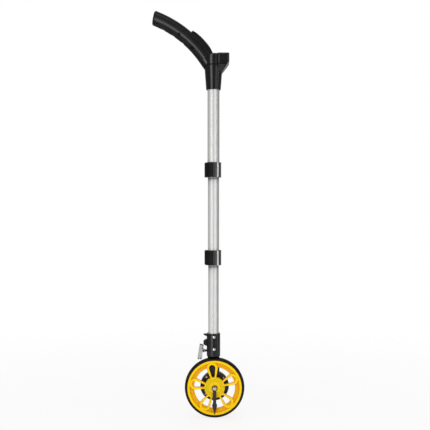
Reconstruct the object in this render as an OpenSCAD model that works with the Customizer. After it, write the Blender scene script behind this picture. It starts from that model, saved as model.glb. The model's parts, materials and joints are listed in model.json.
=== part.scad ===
// Digital measuring wheel: telescopic pole, display handle, sprung brake and a yellow wheel.
// The wheel rolls along X, its axle lies along Y and the pole stands along Z.
// The origin is where the tyre meets the ground, straight under the axle.

/* [Wheel] */
// Distance rolled in one turn of the wheel
wheel_travel = 500; // [460:5:540]
// Width of the tyre
tyre_w = 22; // [20:0.5:26]
// Rubber that shows past the rim lip
tyre_t = 7.2; // [6:0.1:8]
// Radius of the tyre's crown across its width
tyre_crown = 45; // [30:1:80]
// How far the rim stays inside the tyre's side
rim_inset = 0.5; // [0.2:0.1:1.5]
// Radial width of the bright rim lip
lip_w = 6; // [5:0.1:8]
// Radial width of the dished ring inside the lip
dish_w = 12; // [10:0.1:15]
// Depth of the dish behind the lip
dish_depth = 5; // [3:0.1:6]
// Thickness of the dish
dish_t = 3; // [2:0.1:4]
// Depth of the groove that holds the tyre
tyre_groove = 2.8; // [2:0.1:3.2]
// Radius of the hub disc
hub_r = 27.2; // [26:0.1:29]
// Thickness of the hub disc
hub_t = 6; // [4:0.5:7]
// Radius of the hub boss
boss_r = 15.5; // [14:0.1:17]
// Number of looped spokes
loop_n = 5; // [4:1:6]
// Turn of the first loop
loop_turn = 25; // [0:1:71]
// Radius of a loop's opening at the hub
loop_r_hub = 4.5; // [3:0.1:5]
// Radius of a loop's opening at the rim
loop_r_rim = 8.2; // [6:0.1:9]
// Width of a loop's bead at the hub
bead_hub = 4; // [3:0.1:5]
// Width of a loop's bead at the rim
bead_rim = 6.6; // [5:0.1:7.5]
// How far a loop reaches out over the dish
loop_reach = 6.6; // [4:0.1:8]
// Height of the beads over the hub disc
bead_h = 1; // [0.5:0.1:2]

/* [Axle] */
// Axle diameter in the bearings
axle_d = 8; // [7:0.5:9]
// Bearing outer diameter
bearing_od = 22; // [20:0.5:24]
// Bearing width
bearing_w = 7; // [6:0.5:8]
// Pointer journal diameter
journal_d = 7; // [6.4:0.1:7.4]
// Cap nut thread diameter
thread_d = 6; // [5:0.1:6.2]
// Cap nut width across flats
cap_nut_af = 10; // [9:0.5:12]
// Pointer thickness
pointer_t = 2.4; // [1.5:0.1:3]
// Pointer shaft width
pointer_w = 8.8; // [6:0.1:10]
// Pointer head width
pointer_head_w = 14; // [11:0.5:18]
// Outer diameter of the magnet ring
magnet_od = 48; // [44:1:50]
// Inner diameter of the magnet ring
magnet_id = 37; // [35:0.5:39]

/* [Fork] */
// Pole axis behind the axle
pole_back = 3; // [0:0.5:6]
// Outer diameter of the pole socket
socket_od = 36; // [35:0.5:40]
// Height of the pole socket
socket_h = 60.5; // [58:0.5:70]
// Gap between the tyre and the socket
tyre_gap = 4.4; // [3:0.1:8]
// Width of the arm behind the wheel
arm_w = 32; // [28:0.5:34]
// Gap between the tyre's side and the sensor cover
cover_gap = 3; // [2.5:0.1:5]
// Thickness of the sensor cover
cover_t = 2.5; // [2:0.1:4]
// Inner depth of the sensor housing
housing_depth = 11; // [10:0.5:14]
// Floor thickness of the sensor housing
housing_floor = 3.5; // [3:0.1:5]
// Radius of the sensor housing
housing_r = 38.4; // [37:0.1:42]
// Distance between the two socket rivets
rivet_pitch = 32.3; // [28:0.1:36]
// Diameter of a rivet head
rivet_d = 7; // [5:0.5:8]

/* [Brake] */
// Height of the brake lever
lever_h = 37.8; // [36:0.1:40]
// Depth of the brake lever
lever_d = 12.3; // [11:0.1:13]
// Lean of the brake lever
lever_tilt = 9.4; // [6:0.1:10]
// Sheet thickness of the brake lever
lever_t = 1.2; // [0.8:0.1:1.6]
// Width of the brake lugs
lug_w = 13; // [10:0.5:16]
// Brake pivot pin diameter
pivot_d = 3; // [2.5:0.1:3.4]

/* [Pole] */
// Outer diameter of the upper tube
tube_od = 32; // [30:0.5:33]
// Wall of the tubes
tube_wall = 0.9; // [0.7:0.1:1.2]
// Length of lower tube that shows
lower_show = 181.5; // [170:0.5:220]
// Length of middle tube that shows
middle_show = 193.6; // [190:0.2:230]
// Length of upper tube that shows
upper_show = 193.2; // [180:0.2:230]
// Length of one tube inside the next, above its clamp
tube_overlap = 50; // [40:1:60]

/* [Clamps] */
// Height of a clamp
clamp_h = 40; // [36:1:46]
// Outer radius of a clamp body
clamp_r = 20.6; // [20:0.1:22]
// Thickness of a clamp lever
wrap_t = 2.8; // [2:0.1:3.5]
// Arc covered by a clamp lever
wrap_arc = 124; // [100:1:135]
// Turn of the clamp ears around the pole
ear_turn = 25; // [10:1:35]
// Clamp pivot pin diameter
clamp_pin_d = 4; // [3:0.1:4.4]

/* [Head] */
// Outer radius of the cup at its lower end
cup_r_low = 19.4; // [18.6:0.1:21]
// Outer radius of the cup at its seam
cup_r_high = 24.4; // [23.5:0.1:25.5]
// Height of the cup
cup_h = 65; // [60:1:75]
// Width of the display pod
pod_w = 58; // [54:1:64]
// Front of the pod ahead of the pole axis
pod_front = 42; // [40:0.5:48]
// Back of the pod ahead of the pole axis
pod_back = 10; // [8:0.5:11]
// Height of the pod above the seam
pod_h = 29.5; // [28:0.5:34]
// Corner radius of the pod
pod_corner = 6; // [4:0.5:8]
// Wall of the head mouldings
head_wall = 2.5; // [2:0.1:3]
// Thickness of the display bezel
bezel_t = 3.3; // [3:0.1:4]
// Button diameter
button_d = 7.2; // [6:0.1:7.6]
// Distance between buttons
button_pitch = 10; // [9.5:0.1:10.4]
// Button travel
button_travel = 0.8; // [0.5:0.1:1]

/* [Grip] */
// Bend radius of the grip
grip_bend = 295; // [270:5:340]
// Length of the grip along its bend
grip_len = 178; // [172:1:190]
// Width of the grip
grip_w = 34; // [32:0.5:35]
// Depth of the grip shells
grip_d = 36.5; // [35.5:0.5:40]
// Wall of the grip shells
grip_wall = 2.5; // [2:0.1:3]
// Slope of the grip where it leaves the head
root_slope = 34.4; // [32:0.2:37]
// Rubber under the shells
rubber_t = 2.6; // [2.5:0.1:4]
// Depth of the finger grooves
groove_depth = 1.8; // [1:0.1:1.9]
// Distance between finger grooves
groove_pitch = 33; // [28:0.1:40]
// Lean of the grip's free end
end_tilt = 10; // [0:1:14]
// Rise of the battery door over the shells
door_rise = 8.5; // [7:0.1:9]
// Width of the battery door
door_w = 30; // [28:0.5:31]

/* [Hidden] */
$fn = 64;
fit = 0.02;
run_fit = 0.05;
slide_fit = 0.1;
gap = 0.3;
eps = 1;

// Wheel stations: radii from the axle and depths along Y, front negative
wheel_r = wheel_travel / (2 * PI);
axle_z = wheel_r;
tyre_hw = tyre_w / 2;
rim_hw = tyre_hw - rim_inset;
rim_r = wheel_r - tyre_t;
seat_r = rim_r - tyre_groove;
dish_r = rim_r - lip_w;
window_r = dish_r - dish_w;
flange_t = 1.5;
flange_draft = 1;
seat_hw = rim_hw - flange_t - flange_draft;
barrel_t = 3.5;
barrel_r = seat_r - barrel_t;
dish_draft = 0.8;
dish_out_y = -(rim_hw - dish_depth);
dish_in_y = dish_out_y + 1.5;
hub_recess = 2.5;
hub_y = -(tyre_hw - hub_recess);
disc_y = hub_y + bead_h;
bead_back_y = dish_in_y + dish_t + 2.5;
loop_hub = hub_r - 0.5;
loop_rim = window_r + loop_reach;
loop_step = 360 / loop_n;
index_loop = 1;
hub_back_y = tyre_hw;
hub_wall = 1.5;
hub_cover = 0.5;
seat_y = hub_y + hub_wall;
spacer_wall = 1.5;
magnet_sink = 1;
magnet_t = 2.5;
magnet_flange_t = 3;
magnet_rim = 2;

// Axle stations along Y
pointer_y1 = -rim_hw - 0.4;
pointer_y0 = pointer_y1 - pointer_t;
journal_y0 = pointer_y0 - 0.2;
shoulder_y = hub_y - gap;
washer_y0 = pointer_y1 + 0.2;
washer_r = 6.5;
thread_len = 4;
thread_y0 = journal_y0 - thread_len;
collar_y = hub_back_y + 0.2;
cover_y = tyre_hw + cover_gap;
housing_y = cover_y + cover_t;
floor_y = housing_y + housing_depth;
back_y = floor_y + housing_floor;
collar_wall = 2;
collar_r = axle_d / 2 + collar_wall;
axle_flange = 5;
axle_flange_r = axle_d / 2 + axle_flange;
axle_flange_t = 3.5;
rear_nut_t = 6.5;
rear_nut_af = 13;
pointer_eye_r = 7.4;
tip_in = 1.8;
pointer_tip = rim_r - tip_in;
pointer_head = 46;
pointer_neck = 39;
pointer_ridge = 0.5;

// Fork stations
pole_x = -pole_back;
socket_r = socket_od / 2;
socket_z = 2 * wheel_r + tyre_gap;
socket_top = socket_z + socket_h;
arm_corner = 5;
housing_wall = 3;
boss_screw_r = 3.2;
cover_screw_in = 6.2;
cover_screw_ring = housing_r - cover_screw_in;
cover_screw_turn = 48;
standoff_ring = 24;
standoff_r = 2.5;
board_t = 1.6;
sensor_y = floor_y - 7;
sensor_board_r = 27.5;
tube_floor = 12;
rivet_mid = 24.6;
rivet_side = 1.6;
rivet_sink = 0.6;
rivet_h = 1.8;

// Brake stations, from the pivot
pivot_out = 8.3;
pivot_x = pole_x - socket_r - pivot_out;
pivot_up = 14.1;
pivot_z = socket_z + pivot_up;
lug_r = 3.4;
link_h = 4.5;
hook = 8.7;
hook_h = 4.4;
hook_drop = 1.5;
hook_z = socket_top - hook_drop;
notch_r = 5.5;
bulge_drop = 33;
bulge_z = socket_top - bulge_drop;
bulge_slope = 2;
lug_hw = lug_w / 2;
lever_in = lug_hw + 0.5;
lever_out = lever_in + lever_t;
lever_top = 15;
lever_bottom = lever_top - lever_h;
lever_left = -lever_d - 1;
pin_head_r = 2.6;
pin_head_t = 0.7;
lever_brow = 2;
lever_heel = 0.6;
lever_waist = 18;
pad_top = -13;
pad_drop = 1.8;
spring_t = 0.8;
spring_hw = 5;
spring_foot = 9;
spring_toe = 4.6;
spring_turn = 5;
spring_x = 4;
spring_lip = 3.6;
spring_lift = 2;
spring_knee = 6;
spring_tip = 11.5;

// Pole stations
upper_r = tube_od / 2;
middle_r = upper_r - tube_wall - slide_fit;
lower_r = middle_r - tube_wall - slide_fit;
lower_clamp_z = socket_top + lower_show;
upper_clamp_z = lower_clamp_z + clamp_h + middle_show;
cup_z = upper_clamp_z + clamp_h + upper_show;
clamp_step = 18;
upper_tube_z = upper_clamp_z + clamp_step;
middle_tube_z = lower_clamp_z + clamp_step;
lower_tube_z = socket_z + tube_floor;
middle_top = upper_clamp_z + clamp_h + tube_overlap;
lower_top = lower_clamp_z + clamp_h + tube_overlap;
bush_plug = 12;
bush_flange = 2.5;
bush_bore_r = 9;

// Clamp stations, in the frame of the ears
ear_hw = 8;
ear_out = 7;
slit_w = 2.5;
bolt_d = 5;
bolt_out = 3.1;
bolt_y = clamp_r + bolt_out;
knuckle_r = clamp_pin_d / 2 + 1.4;
pin_x = -ear_hw - knuckle_r - 0.4;
ear_h = 24;
eye_h = 6;
eye_r = knuckle_r + 0.2;
wrap_in = clamp_r + gap;
wrap_out = wrap_in + wrap_t;
pin_turn = ear_turn + atan2(bolt_y, pin_x);
nut_w = 4;
nut_af = 8;

// Head stations
seam_z = cup_z + cup_h;
pod_top = seam_z + pod_h;
bezel_z = pod_top - bezel_t;
bezel_back = 3.4;
bezel_rest = 1.5;
tube_drop = 13;
spigot_in = 5.5;
tube_top = seam_z - tube_drop;
spigot_r = cup_r_high - spigot_in;
spigot_h = 10;
neck_r = cup_r_high;
pod_hw = pod_w / 2;
bevel_foot = [21, -23];
bevel_rise = 8;
side_bevel_rise = 1;
bevel_foot_x = pole_x + bevel_foot[0];
bevel_foot_z = seam_z + bevel_foot[1];
bevel_top_z = seam_z + bevel_rise;
side_bevel_z = seam_z + side_bevel_rise;
bevel_foot_hw = 10;
post_r = 3;
post_in = 5.2;
post_front = 10;
case_screw_r = 1.1;
case_head_r = 2;
case_head_h = 1.6;
case_seat_drop = 1.4;
board_drop = 9.5;
case_seat_z = seam_z - case_seat_drop;
board_z = pod_top - board_drop;
board_hw = pod_hw - post_in - post_r - 2 * gap;
lens_t = 1.6;
lens_in = 4;
lens_side = 6;
lens_hw = pod_hw - lens_side;
window_in = 2;
lcd_t = 3.2;
lcd_in = 2.6;
switch_h = 2.4;
flange_h = 1.2;
flange_rim = 1;
button_rise = 1.5;
button_ahead = 5;
button_x = pole_x + button_ahead;
button_n = 3;

// Grip stations: arc lengths from the free end, radii from the centre of the bend
root_back = 21.3;
root_rise = 17.3;
root_proud = 0.5;
root_reach = 60;
heel_run = 13;
heel_drop = 9.5;
heel_in = 2;
heel_w = 3;
root_x = pole_x - root_back;
root_z = seam_z + root_rise;
bend_x = root_x - grip_bend * cos(root_slope);
bend_z = root_z - grip_bend * sin(root_slope);
deg_per_mm = 180 / PI / grip_bend;
grip_r = grip_w / 2;
root_hw = grip_r + root_proud;
section_lift = 4;
section_top = grip_bend + section_lift;
section_low = section_top - (grip_d - grip_w);
grip_top = section_top + grip_r;
grip_low = section_low - grip_r;
inner_r = grip_r - grip_wall;
tang_len = 21;
tang_wall = 2.3;
wire_r = 3.5;
wire_len = 38;
part_line = 0.05;
bend_facets = 240;
rubber_drop = 9;
rubber_proud = 1;
rubber_edge = section_low - rubber_drop;
rubber_r = grip_r + rubber_proud;
rubber_start = 8;
rubber_tail = 0.6;
rubber_end = grip_len - rubber_tail;
groove_first = 36;
groove_n = 3;
groove_r = 40;
cap_len = 5;
cap_plug = 6;
cap_step = 1.5;
end_reach = 24;
screw_far = [96, 6.4, -11.5];
screw_near = [43.5, 9.5, -8.5];
screw_at = [for (p = [screw_far, screw_near]) [grip_len - p[0], p[1], p[2]]];
screw_end = 8;
screw_head_r = 3.4;
screw_head_h = 2;
screw_boss_r = 4.6;
screw_r = 1.6;
cell_r = 5.25;
cell_len = 44.4;
cell_back = 47.5;
cell_mid = grip_len - cell_back;
cell_lift = 7;
tray_floor = 3.5;
tray_end = 1.8;
rib_place = 15;
rib_h = 6;
rib_t = 2;
opening_len = cell_len + 1.6;
opening_hw = 2 * cell_r + 0.4;
contact_t = 0.8;
door_back = 72.5;
door_tail = 1.5;
door_start = grip_len - door_back;
door_end = grip_len - door_tail;
door_r = door_w / 2;
door_wall = 2.7;
door_centre = grip_top + door_rise - door_r;
door_crown = 108;
door_crown_back = 38;
door_mid = grip_len - door_crown_back;
knuckle_door_r = 1.8;
hinge_rho = grip_top + knuckle_door_r + gap;
hinge_lead = 0.8;
hinge_s = door_start - hinge_lead;
hinge_pin_r = 1;
knuckle_hw = 9;
lug_door = 2.6;

// Shared shapes

// A rod along Y from y0 to y1
module rod_y(r, y0, y1) {
    translate([0, y0, 0]) rotate([-90, 0, 0]) cylinder(r = r, h = y1 - y0);
}

// A tube along Y
module ring_y(r_out, r_in, y0, y1) {
    difference() {
        rod_y(r_out, y0, y1);
        rod_y(r_in, y0 - eps, y1 + eps);
    }
}

// A turned shape about Y, with its outline as radius and depth
module turned_y() {
    rotate([-90, 0, 0]) rotate_extrude() children();
}

// An outline in X and Z, extruded along Y
module slab_y(y0, y1) {
    translate([0, y1, 0]) rotate([90, 0, 0]) linear_extrude(y1 - y0) children();
}

// An outline in Y and Z, extruded along X
module slab_x(x0, x1) {
    translate([x0, 0, 0]) rotate([90, 0, 90]) linear_extrude(x1 - x0) children();
}

// A pipe along Z
module pipe(r_out, r_in, z0, z1) {
    translate([0, 0, z0]) difference() {
        cylinder(r = r_out, h = z1 - z0);
        translate([0, 0, -eps]) cylinder(r = r_in, h = z1 - z0 + 2 * eps);
    }
}

// A rectangle with round corners, from corner to corner
module round_rect(x0, x1, y0, y1, r) {
    translate([x0 + r, y0]) square([x1 - x0 - 2 * r, y1 - y0]);
    translate([x0, y0 + r]) square([x1 - x0, y1 - y0 - 2 * r]);
    for (x = [x0 + r, x1 - r], y = [y0 + r, y1 - r]) translate([x, y]) circle(r);
}

// A drop along X: two circles and the straight sides that touch both
module drop(d1, r1, d2, r2) {
    lean = asin((r2 - r1) / (d2 - d1));
    translate([d1, 0]) circle(r1);
    translate([d2, 0]) circle(r2);
    polygon([
        for (side = [1, -1]) [d1 - r1 * sin(lean), side * r1 * cos(lean)],
        for (side = [-1, 1]) [d2 - r2 * sin(lean), side * r2 * cos(lean)]
    ]);
}

module at_axle() {
    translate([0, 0, axle_z]) children();
}

module at_pole() {
    translate([pole_x, 0, 0]) children();
}

module at_pivot() {
    translate([pivot_x, 0, pivot_z]) children();
}

// Wheel

module rim_outline() {
    polygon([
        [window_r, dish_in_y],
        [dish_r - dish_draft, dish_out_y],
        [dish_r, -rim_hw],
        [rim_r, -rim_hw],
        [rim_r, -rim_hw + flange_t],
        [seat_r, -seat_hw],
        [seat_r, seat_hw],
        [rim_r, rim_hw - flange_t],
        [rim_r, rim_hw],
        [dish_r, rim_hw],
        [barrel_r, rim_hw - flange_t],
        [barrel_r, dish_out_y + dish_t],
        [window_r, dish_in_y + dish_t]
    ]);
}

module loop_opening() {
    drop(loop_hub + loop_r_hub, loop_r_hub, loop_rim - loop_r_rim, loop_r_rim);
}

module loop_bead() {
    drop(loop_hub + loop_r_hub, loop_r_hub + bead_hub, loop_rim - loop_r_rim, loop_r_rim + bead_rim);
}

module loop_places() {
    for (i = [0 : loop_n - 1]) rotate([0, -loop_turn - i * loop_step, 0]) children();
}

module wheel_rim() {
    color("gold") at_axle() difference() {
        union() {
            turned_y() rim_outline();
            loop_places() slab_y(hub_y, bead_back_y) loop_bead();
            rod_y(hub_r, disc_y, disc_y + hub_t);
            rod_y(boss_r, hub_y, hub_back_y);
            rod_y(magnet_od / 2 + magnet_rim, hub_back_y - magnet_flange_t, hub_back_y);
        }
        loop_places() slab_y(-tyre_w, bead_back_y + eps) intersection() {
            loop_opening();
            circle(window_r);
        }
        rotate([0, -loop_turn - index_loop * loop_step, 0]) slab_y(-tyre_w, tyre_w) difference() {
            loop_opening();
            circle(window_r - eps);
        }
        loop_places() slab_y(-tyre_w, dish_out_y) difference() {
            loop_opening();
            circle(window_r - eps);
        }
        rod_y(washer_r - hub_cover, -tyre_w, tyre_w);
        rod_y(bearing_od / 2 + fit, seat_y, tyre_w);
        ring_y(magnet_od / 2 + fit, magnet_id / 2 - fit, hub_back_y - magnet_sink, tyre_w);
    }
}

module tyre_outline() {
    side = rim_hw - flange_t - fit;
    half = [
        [seat_r + fit, seat_hw - fit],
        [rim_r + fit, side],
        [rim_r + fit, tyre_hw - rim_inset],
        [rim_r + tyre_t / 3, tyre_hw],
        [wheel_r - tyre_t / 3, tyre_hw],
        [wheel_r, tyre_hw - tyre_t / 4]
    ];
    intersection() {
        polygon([
            for (p = half) p,
            for (i = [len(half) - 1 : -1 : 0]) [half[i][0], -half[i][1]]
        ]);
        translate([wheel_r - tyre_crown, 0]) circle(tyre_crown);
    }
}

module tyre() {
    color("#1c1c1c") at_axle() turned_y() tyre_outline();
}

module bearing(y0) {
    race = (bearing_od - axle_d) / 2;
    shield = 0.6;
    difference() {
        ring_y(bearing_od / 2, axle_d / 2 + run_fit, y0, y0 + bearing_w);
        for (y = [y0 - eps, y0 + bearing_w - shield])
            ring_y(bearing_od / 2 - race / 5, axle_d / 2 + race / 4, y, y + shield + eps);
    }
}

module wheel_bearings() {
    color("silver") at_axle() {
        bearing(seat_y);
        bearing(hub_back_y - bearing_w);
    }
}

module bearing_spacer() {
    color("gainsboro") at_axle()
        ring_y(axle_d / 2 + spacer_wall, axle_d / 2 + fit, seat_y + bearing_w + slide_fit,
            hub_back_y - bearing_w - slide_fit);
}

module magnet_ring() {
    color("dimgray") at_axle()
        ring_y(magnet_od / 2, magnet_id / 2, hub_back_y - magnet_sink, hub_back_y - magnet_sink + magnet_t);
}

module pointer_outline() {
    circle(pointer_eye_r);
    polygon([
        [-pointer_w / 2, 0],
        [-pointer_w / 2, -pointer_neck],
        [-pointer_head_w / 2, -pointer_head],
        [0, -pointer_tip],
        [pointer_head_w / 2, -pointer_head],
        [pointer_w / 2, -pointer_neck],
        [pointer_w / 2, 0]
    ]);
}

module pointer() {
    color("#202226") at_axle() difference() {
        union() {
            slab_y(pointer_y0 + pointer_ridge, pointer_y1) pointer_outline();
            slab_y(pointer_y0, pointer_y1) polygon([
                [-pointer_ridge, -pointer_eye_r],
                [-pointer_ridge, -pointer_head],
                [0, -pointer_tip + pointer_eye_r],
                [pointer_ridge, -pointer_head],
                [pointer_ridge, -pointer_eye_r]
            ]);
        }
        rod_y(journal_d / 2 + run_fit, -tyre_w, tyre_w);
    }
}

// Axle and its hardware

module axle() {
    color("silver") at_axle() turned_y() polygon([
        [0, thread_y0],
        [thread_d / 2, thread_y0],
        [thread_d / 2, journal_y0],
        [journal_d / 2, journal_y0],
        [journal_d / 2, shoulder_y],
        [axle_d / 2, shoulder_y],
        [axle_d / 2, collar_y],
        [collar_r, collar_y],
        [collar_r, floor_y - axle_flange_t],
        [axle_flange_r, floor_y - axle_flange_t],
        [axle_flange_r, floor_y],
        [axle_d / 2, floor_y],
        [axle_d / 2, back_y + rear_nut_t + 1.5],
        [0, back_y + rear_nut_t + 1.5]
    ]);
}

module axle_washer() {
    color("silver") at_axle() ring_y(washer_r, journal_d / 2 + fit, washer_y0, shoulder_y);
}

module axle_nut() {
    hex_r = cap_nut_af / 2 / cos(30);
    dome_r = cap_nut_af / 2 - 0.3;
    color("gainsboro") at_axle() difference() {
        union() {
            translate([0, thread_y0, 0]) rotate([-90, 0, 0])
                cylinder(r = hex_r, h = journal_y0 - thread_y0, $fn = 6);
            intersection() {
                translate([0, thread_y0 + dome_r / 4, 0]) sphere(dome_r);
                rod_y(hex_r, thread_y0 - dome_r, thread_y0 + dome_r / 4);
            }
        }
        rod_y(thread_d / 2 + fit, thread_y0 - slide_fit, journal_y0 + eps);
    }
}

module axle_rear_nut() {
    color("gainsboro") at_axle() difference() {
        translate([0, back_y, 0]) rotate([-90, 0, 0])
            cylinder(r = rear_nut_af / 2 / cos(30), h = rear_nut_t, $fn = 6);
        rod_y(axle_d / 2 + fit, back_y - eps, back_y + rear_nut_t + eps);
    }
}

// Fork

module arm_plan() {
    circle(socket_r);
    round_rect(-arm_w / 2, arm_w / 2, 0, back_y, arm_corner);
}

module arm_side() {
    polygon([
        [housing_y, axle_z],
        [housing_y, socket_z],
        [-socket_r, socket_z],
        [-socket_r, socket_top],
        [socket_r - 1, socket_top],
        [socket_r + 1, socket_top - socket_h / 3],
        [back_y, socket_z - tyre_gap],
        [back_y, axle_z]
    ]);
}

module brake_lugs() {
    side_x = pole_x - socket_r;
    hook_low = hook_z - hook_h;
    notch_low = hook_low - 2 * notch_r;
    chamfer = 1;
    difference() {
        slab_y(-lug_hw, lug_hw) polygon([
            [pole_x - socket_r / 2, hook_z],
            [side_x - hook + chamfer, hook_z],
            [side_x - hook, hook_z - chamfer],
            [side_x - hook, hook_low],
            [side_x - hook / 2, hook_low],
            [side_x - hook / 2, notch_low],
            [side_x - hook, notch_low - bulge_slope],
            [side_x - hook, bulge_z + chamfer],
            [side_x - hook + chamfer, bulge_z],
            [pole_x - socket_r / 2, bulge_z]
        ]);
        translate([side_x - hook / 2, 0, hook_low - notch_r]) rod_y(notch_r, -lug_w, lug_w);
    }
    at_pivot() {
        rod_y(lug_r, -lug_hw, lug_hw);
        slab_y(-lug_hw, lug_hw) translate([0, -link_h / 2]) square([pivot_out + socket_r / 3, link_h]);
    }
}

module cover_screw_places() {
    for (turn = [0 : 90 : 270]) rotate([0, turn + cover_screw_turn, 0])
        translate([cover_screw_ring, 0, 0]) children();
}

module standoff_places() {
    for (turn = [30 : 120 : 270]) rotate([0, turn, 0]) translate([standoff_ring, 0, 0]) children();
}

module rivet_places() {
    for (side = [-1, 1])
        translate([pole_x + rivet_side, 0, socket_top - rivet_mid + side * rivet_pitch / 2]) children();
}

module fork_arm() {
    pocket_in = 5;
    pocket_depth = 8;
    color("#1a1a1c") difference() {
        union() {
            intersection() {
                at_pole() translate([0, 0, axle_z]) linear_extrude(socket_top - axle_z) arm_plan();
                at_pole() slab_x(-socket_r, socket_r) arm_side();
            }
            at_axle() rod_y(housing_r, housing_y, back_y);
            brake_lugs();
        }
        at_axle() difference() {
            rod_y(housing_r - housing_wall, housing_y - eps, floor_y);
            cover_screw_places() rod_y(boss_screw_r, housing_y - eps, floor_y + eps);
            standoff_places() rod_y(standoff_r, sensor_y, floor_y + eps);
        }
        at_axle() cover_screw_places() rod_y(screw_r - 0.3, housing_y - eps, floor_y - 2);
        at_axle() rod_y(axle_d / 2 + fit, floor_y - eps, back_y + eps);
        at_pole() translate([0, 0, lower_tube_z]) cylinder(r = lower_r + fit, h = socket_h + eps);
        at_pole() translate([-arm_w / 2 + pocket_in, back_y - pocket_depth, axle_z + housing_r + pocket_in])
            cube([arm_w - 2 * pocket_in, pocket_depth + eps,
                socket_z - axle_z - housing_r - 2 * pocket_in]);
        at_pivot() rod_y(pivot_d / 2 + run_fit, -lug_w, lug_w);
        rivet_places() rod_y(rivet_d / 2 + gap, -socket_od, -socket_r + rivet_sink);
        rivet_places() rod_y(screw_r + fit, -socket_od, 0);
    }
}

module fork_rivets() {
    color("silver") rivet_places() {
        rod_y(screw_r, -socket_r + rivet_sink - eps, -lower_r - slide_fit);
        translate([0, -socket_r + rivet_sink, 0]) intersection() {
            translate([0, rivet_d - rivet_h, 0]) sphere(rivet_d);
            rod_y(rivet_d / 2, -rivet_h, 0);
        }
    }
}

module sensor_cover() {
    color("#151517") at_axle() difference() {
        rod_y(housing_r, cover_y, housing_y);
        rod_y(collar_r + gap, cover_y - eps, housing_y + eps);
        cover_screw_places() rod_y(screw_r + 0.2, cover_y - eps, housing_y + eps);
        cover_screw_places() rod_y(boss_screw_r - 0.4, cover_y - eps, cover_y + cover_t / 2);
    }
}

module cover_screws() {
    color("silver") at_axle() cover_screw_places() {
        rod_y(boss_screw_r - 0.6, cover_y - 0.4, cover_y + cover_t / 2);
        rod_y(screw_r - 0.3 - fit, cover_y, floor_y - 3);
    }
}

module sensor_board() {
    chip = 5;
    chip_t = 1.6;
    color("darkgreen") at_axle() {
        ring_y(sensor_board_r, axle_flange_r + 1.5, sensor_y - board_t, sensor_y);
        for (turn = [70, 110]) rotate([0, -turn, 0])
            translate([(magnet_od + magnet_id) / 4 - chip / 2, sensor_y - board_t - chip_t, -chip / 2])
                cube([chip, chip_t, chip]);
    }
}

// Brake

module lever_side() {
    polygon([
        [lever_left, lever_top],
        [-lever_brow, lever_top],
        [-lug_r, 0],
        [-lever_heel, -lever_waist],
        [lever_left, lever_bottom]
    ]);
    circle(lug_r + 0.2);
}

module brake_lever() {
    color("silver") at_pivot() rotate([0, lever_tilt, 0]) difference() {
        union() {
            slab_y(-lever_out, -lever_in) lever_side();
            slab_y(lever_in, lever_out) lever_side();
            translate([lever_left, -lever_out, lever_bottom]) cube([lever_t, 2 * lever_out, lever_h]);
        }
        rod_y(pivot_d / 2 + fit, -lug_w, lug_w);
    }
}

module brake_pad() {
    pad_left = lever_left + lever_t + slide_fit;
    pad_bottom = lever_bottom - pad_drop;
    notch = 2;
    color("#242424") at_pivot() rotate([0, lever_tilt, 0])
        slab_y(-lever_in + slide_fit, lever_in - slide_fit) polygon([
            [pad_left, pad_top],
            [-1.5, pad_top],
            [-1.2, pad_bottom + 4],
            [-3, pad_bottom + 1.4],
            [pad_left / 2 + notch - 1, pad_bottom + 0.9],
            [pad_left / 2, pad_bottom + 1 + 2 * notch],
            [pad_left / 2 - notch, pad_bottom + 0.5],
            [pad_left, pad_bottom]
        ]);
}

module brake_spring() {
    foot = pad_top + slide_fit;
    color("peru") at_pivot() rotate([0, lever_tilt, 0]) slab_y(-spring_hw, spring_hw) polygon([
        [-spring_foot, foot],
        [-spring_toe - spring_t, foot],
        [-spring_x, foot + spring_lift],
        [-spring_x, spring_knee],
        [-spring_lip, spring_tip],
        [-spring_lip - spring_t, spring_tip],
        [-spring_x - spring_t, spring_knee],
        [-spring_x - spring_t, foot + spring_lift],
        [-spring_turn - spring_t, foot + spring_t],
        [-spring_foot, foot + spring_t]
    ]);
}

module brake_pin() {
    color("gainsboro") at_pivot() {
        rod_y(pivot_d / 2, -lever_out - pin_head_t, lever_out + pin_head_t);
        for (side = [-1, 1]) {
            y = side * (lever_out + pin_head_t / 2);
            rod_y(pin_head_r, y - pin_head_t / 2, y + pin_head_t / 2);
        }
    }
}

// Pole

module tube(r, z0, z1) {
    at_pole() pipe(r, r - tube_wall, z0, z1);
}

module bush(r, z) {
    at_pole() difference() {
        union() {
            translate([0, 0, z]) cylinder(r = r, h = bush_flange);
            translate([0, 0, z - bush_plug]) cylinder(r = r - tube_wall - fit, h = bush_plug + eps);
        }
        translate([0, 0, z - bush_plug - eps])
            cylinder(r = bush_bore_r, h = bush_plug + bush_flange + 2 * eps);
    }
}

module lower_tube() {
    color("silver") tube(lower_r, lower_tube_z, lower_top);
}

module middle_tube() {
    color("silver") tube(middle_r, middle_tube_z, middle_top);
}

module upper_tube() {
    color("silver") tube(upper_r, upper_tube_z, tube_top);
}

module lower_bush() {
    color("dimgray") bush(lower_r, lower_top);
}

module middle_bush() {
    color("dimgray") bush(middle_r, middle_top);
}

// Clamps: a split collar, an eyebolt through its ears and a lever on a pin through the eye

module in_ears(z0) {
    at_pole() translate([0, 0, z0]) rotate([0, 0, ear_turn]) children();
}

module clamp_body(z0, big_r, small_r) {
    color("#222224") in_ears(z0) difference() {
        union() {
            cylinder(r = clamp_r, h = clamp_h);
            translate([-ear_hw, 0, (clamp_h - ear_h) / 2]) cube([2 * ear_hw, clamp_r + ear_out, ear_h]);
        }
        translate([0, 0, -eps]) cylinder(r = small_r + slide_fit, h = clamp_h + 2 * eps);
        translate([0, 0, clamp_step]) cylinder(r = big_r + fit, h = clamp_h);
        translate([-slit_w / 2, 0, -eps]) cube([slit_w, 2 * clamp_r, clamp_h + 2 * eps]);
        translate([-2 * ear_hw, bolt_y, clamp_h / 2]) rotate([0, 90, 0])
            cylinder(r = bolt_d / 2 + slide_fit, h = 4 * ear_hw);
    }
}

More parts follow.
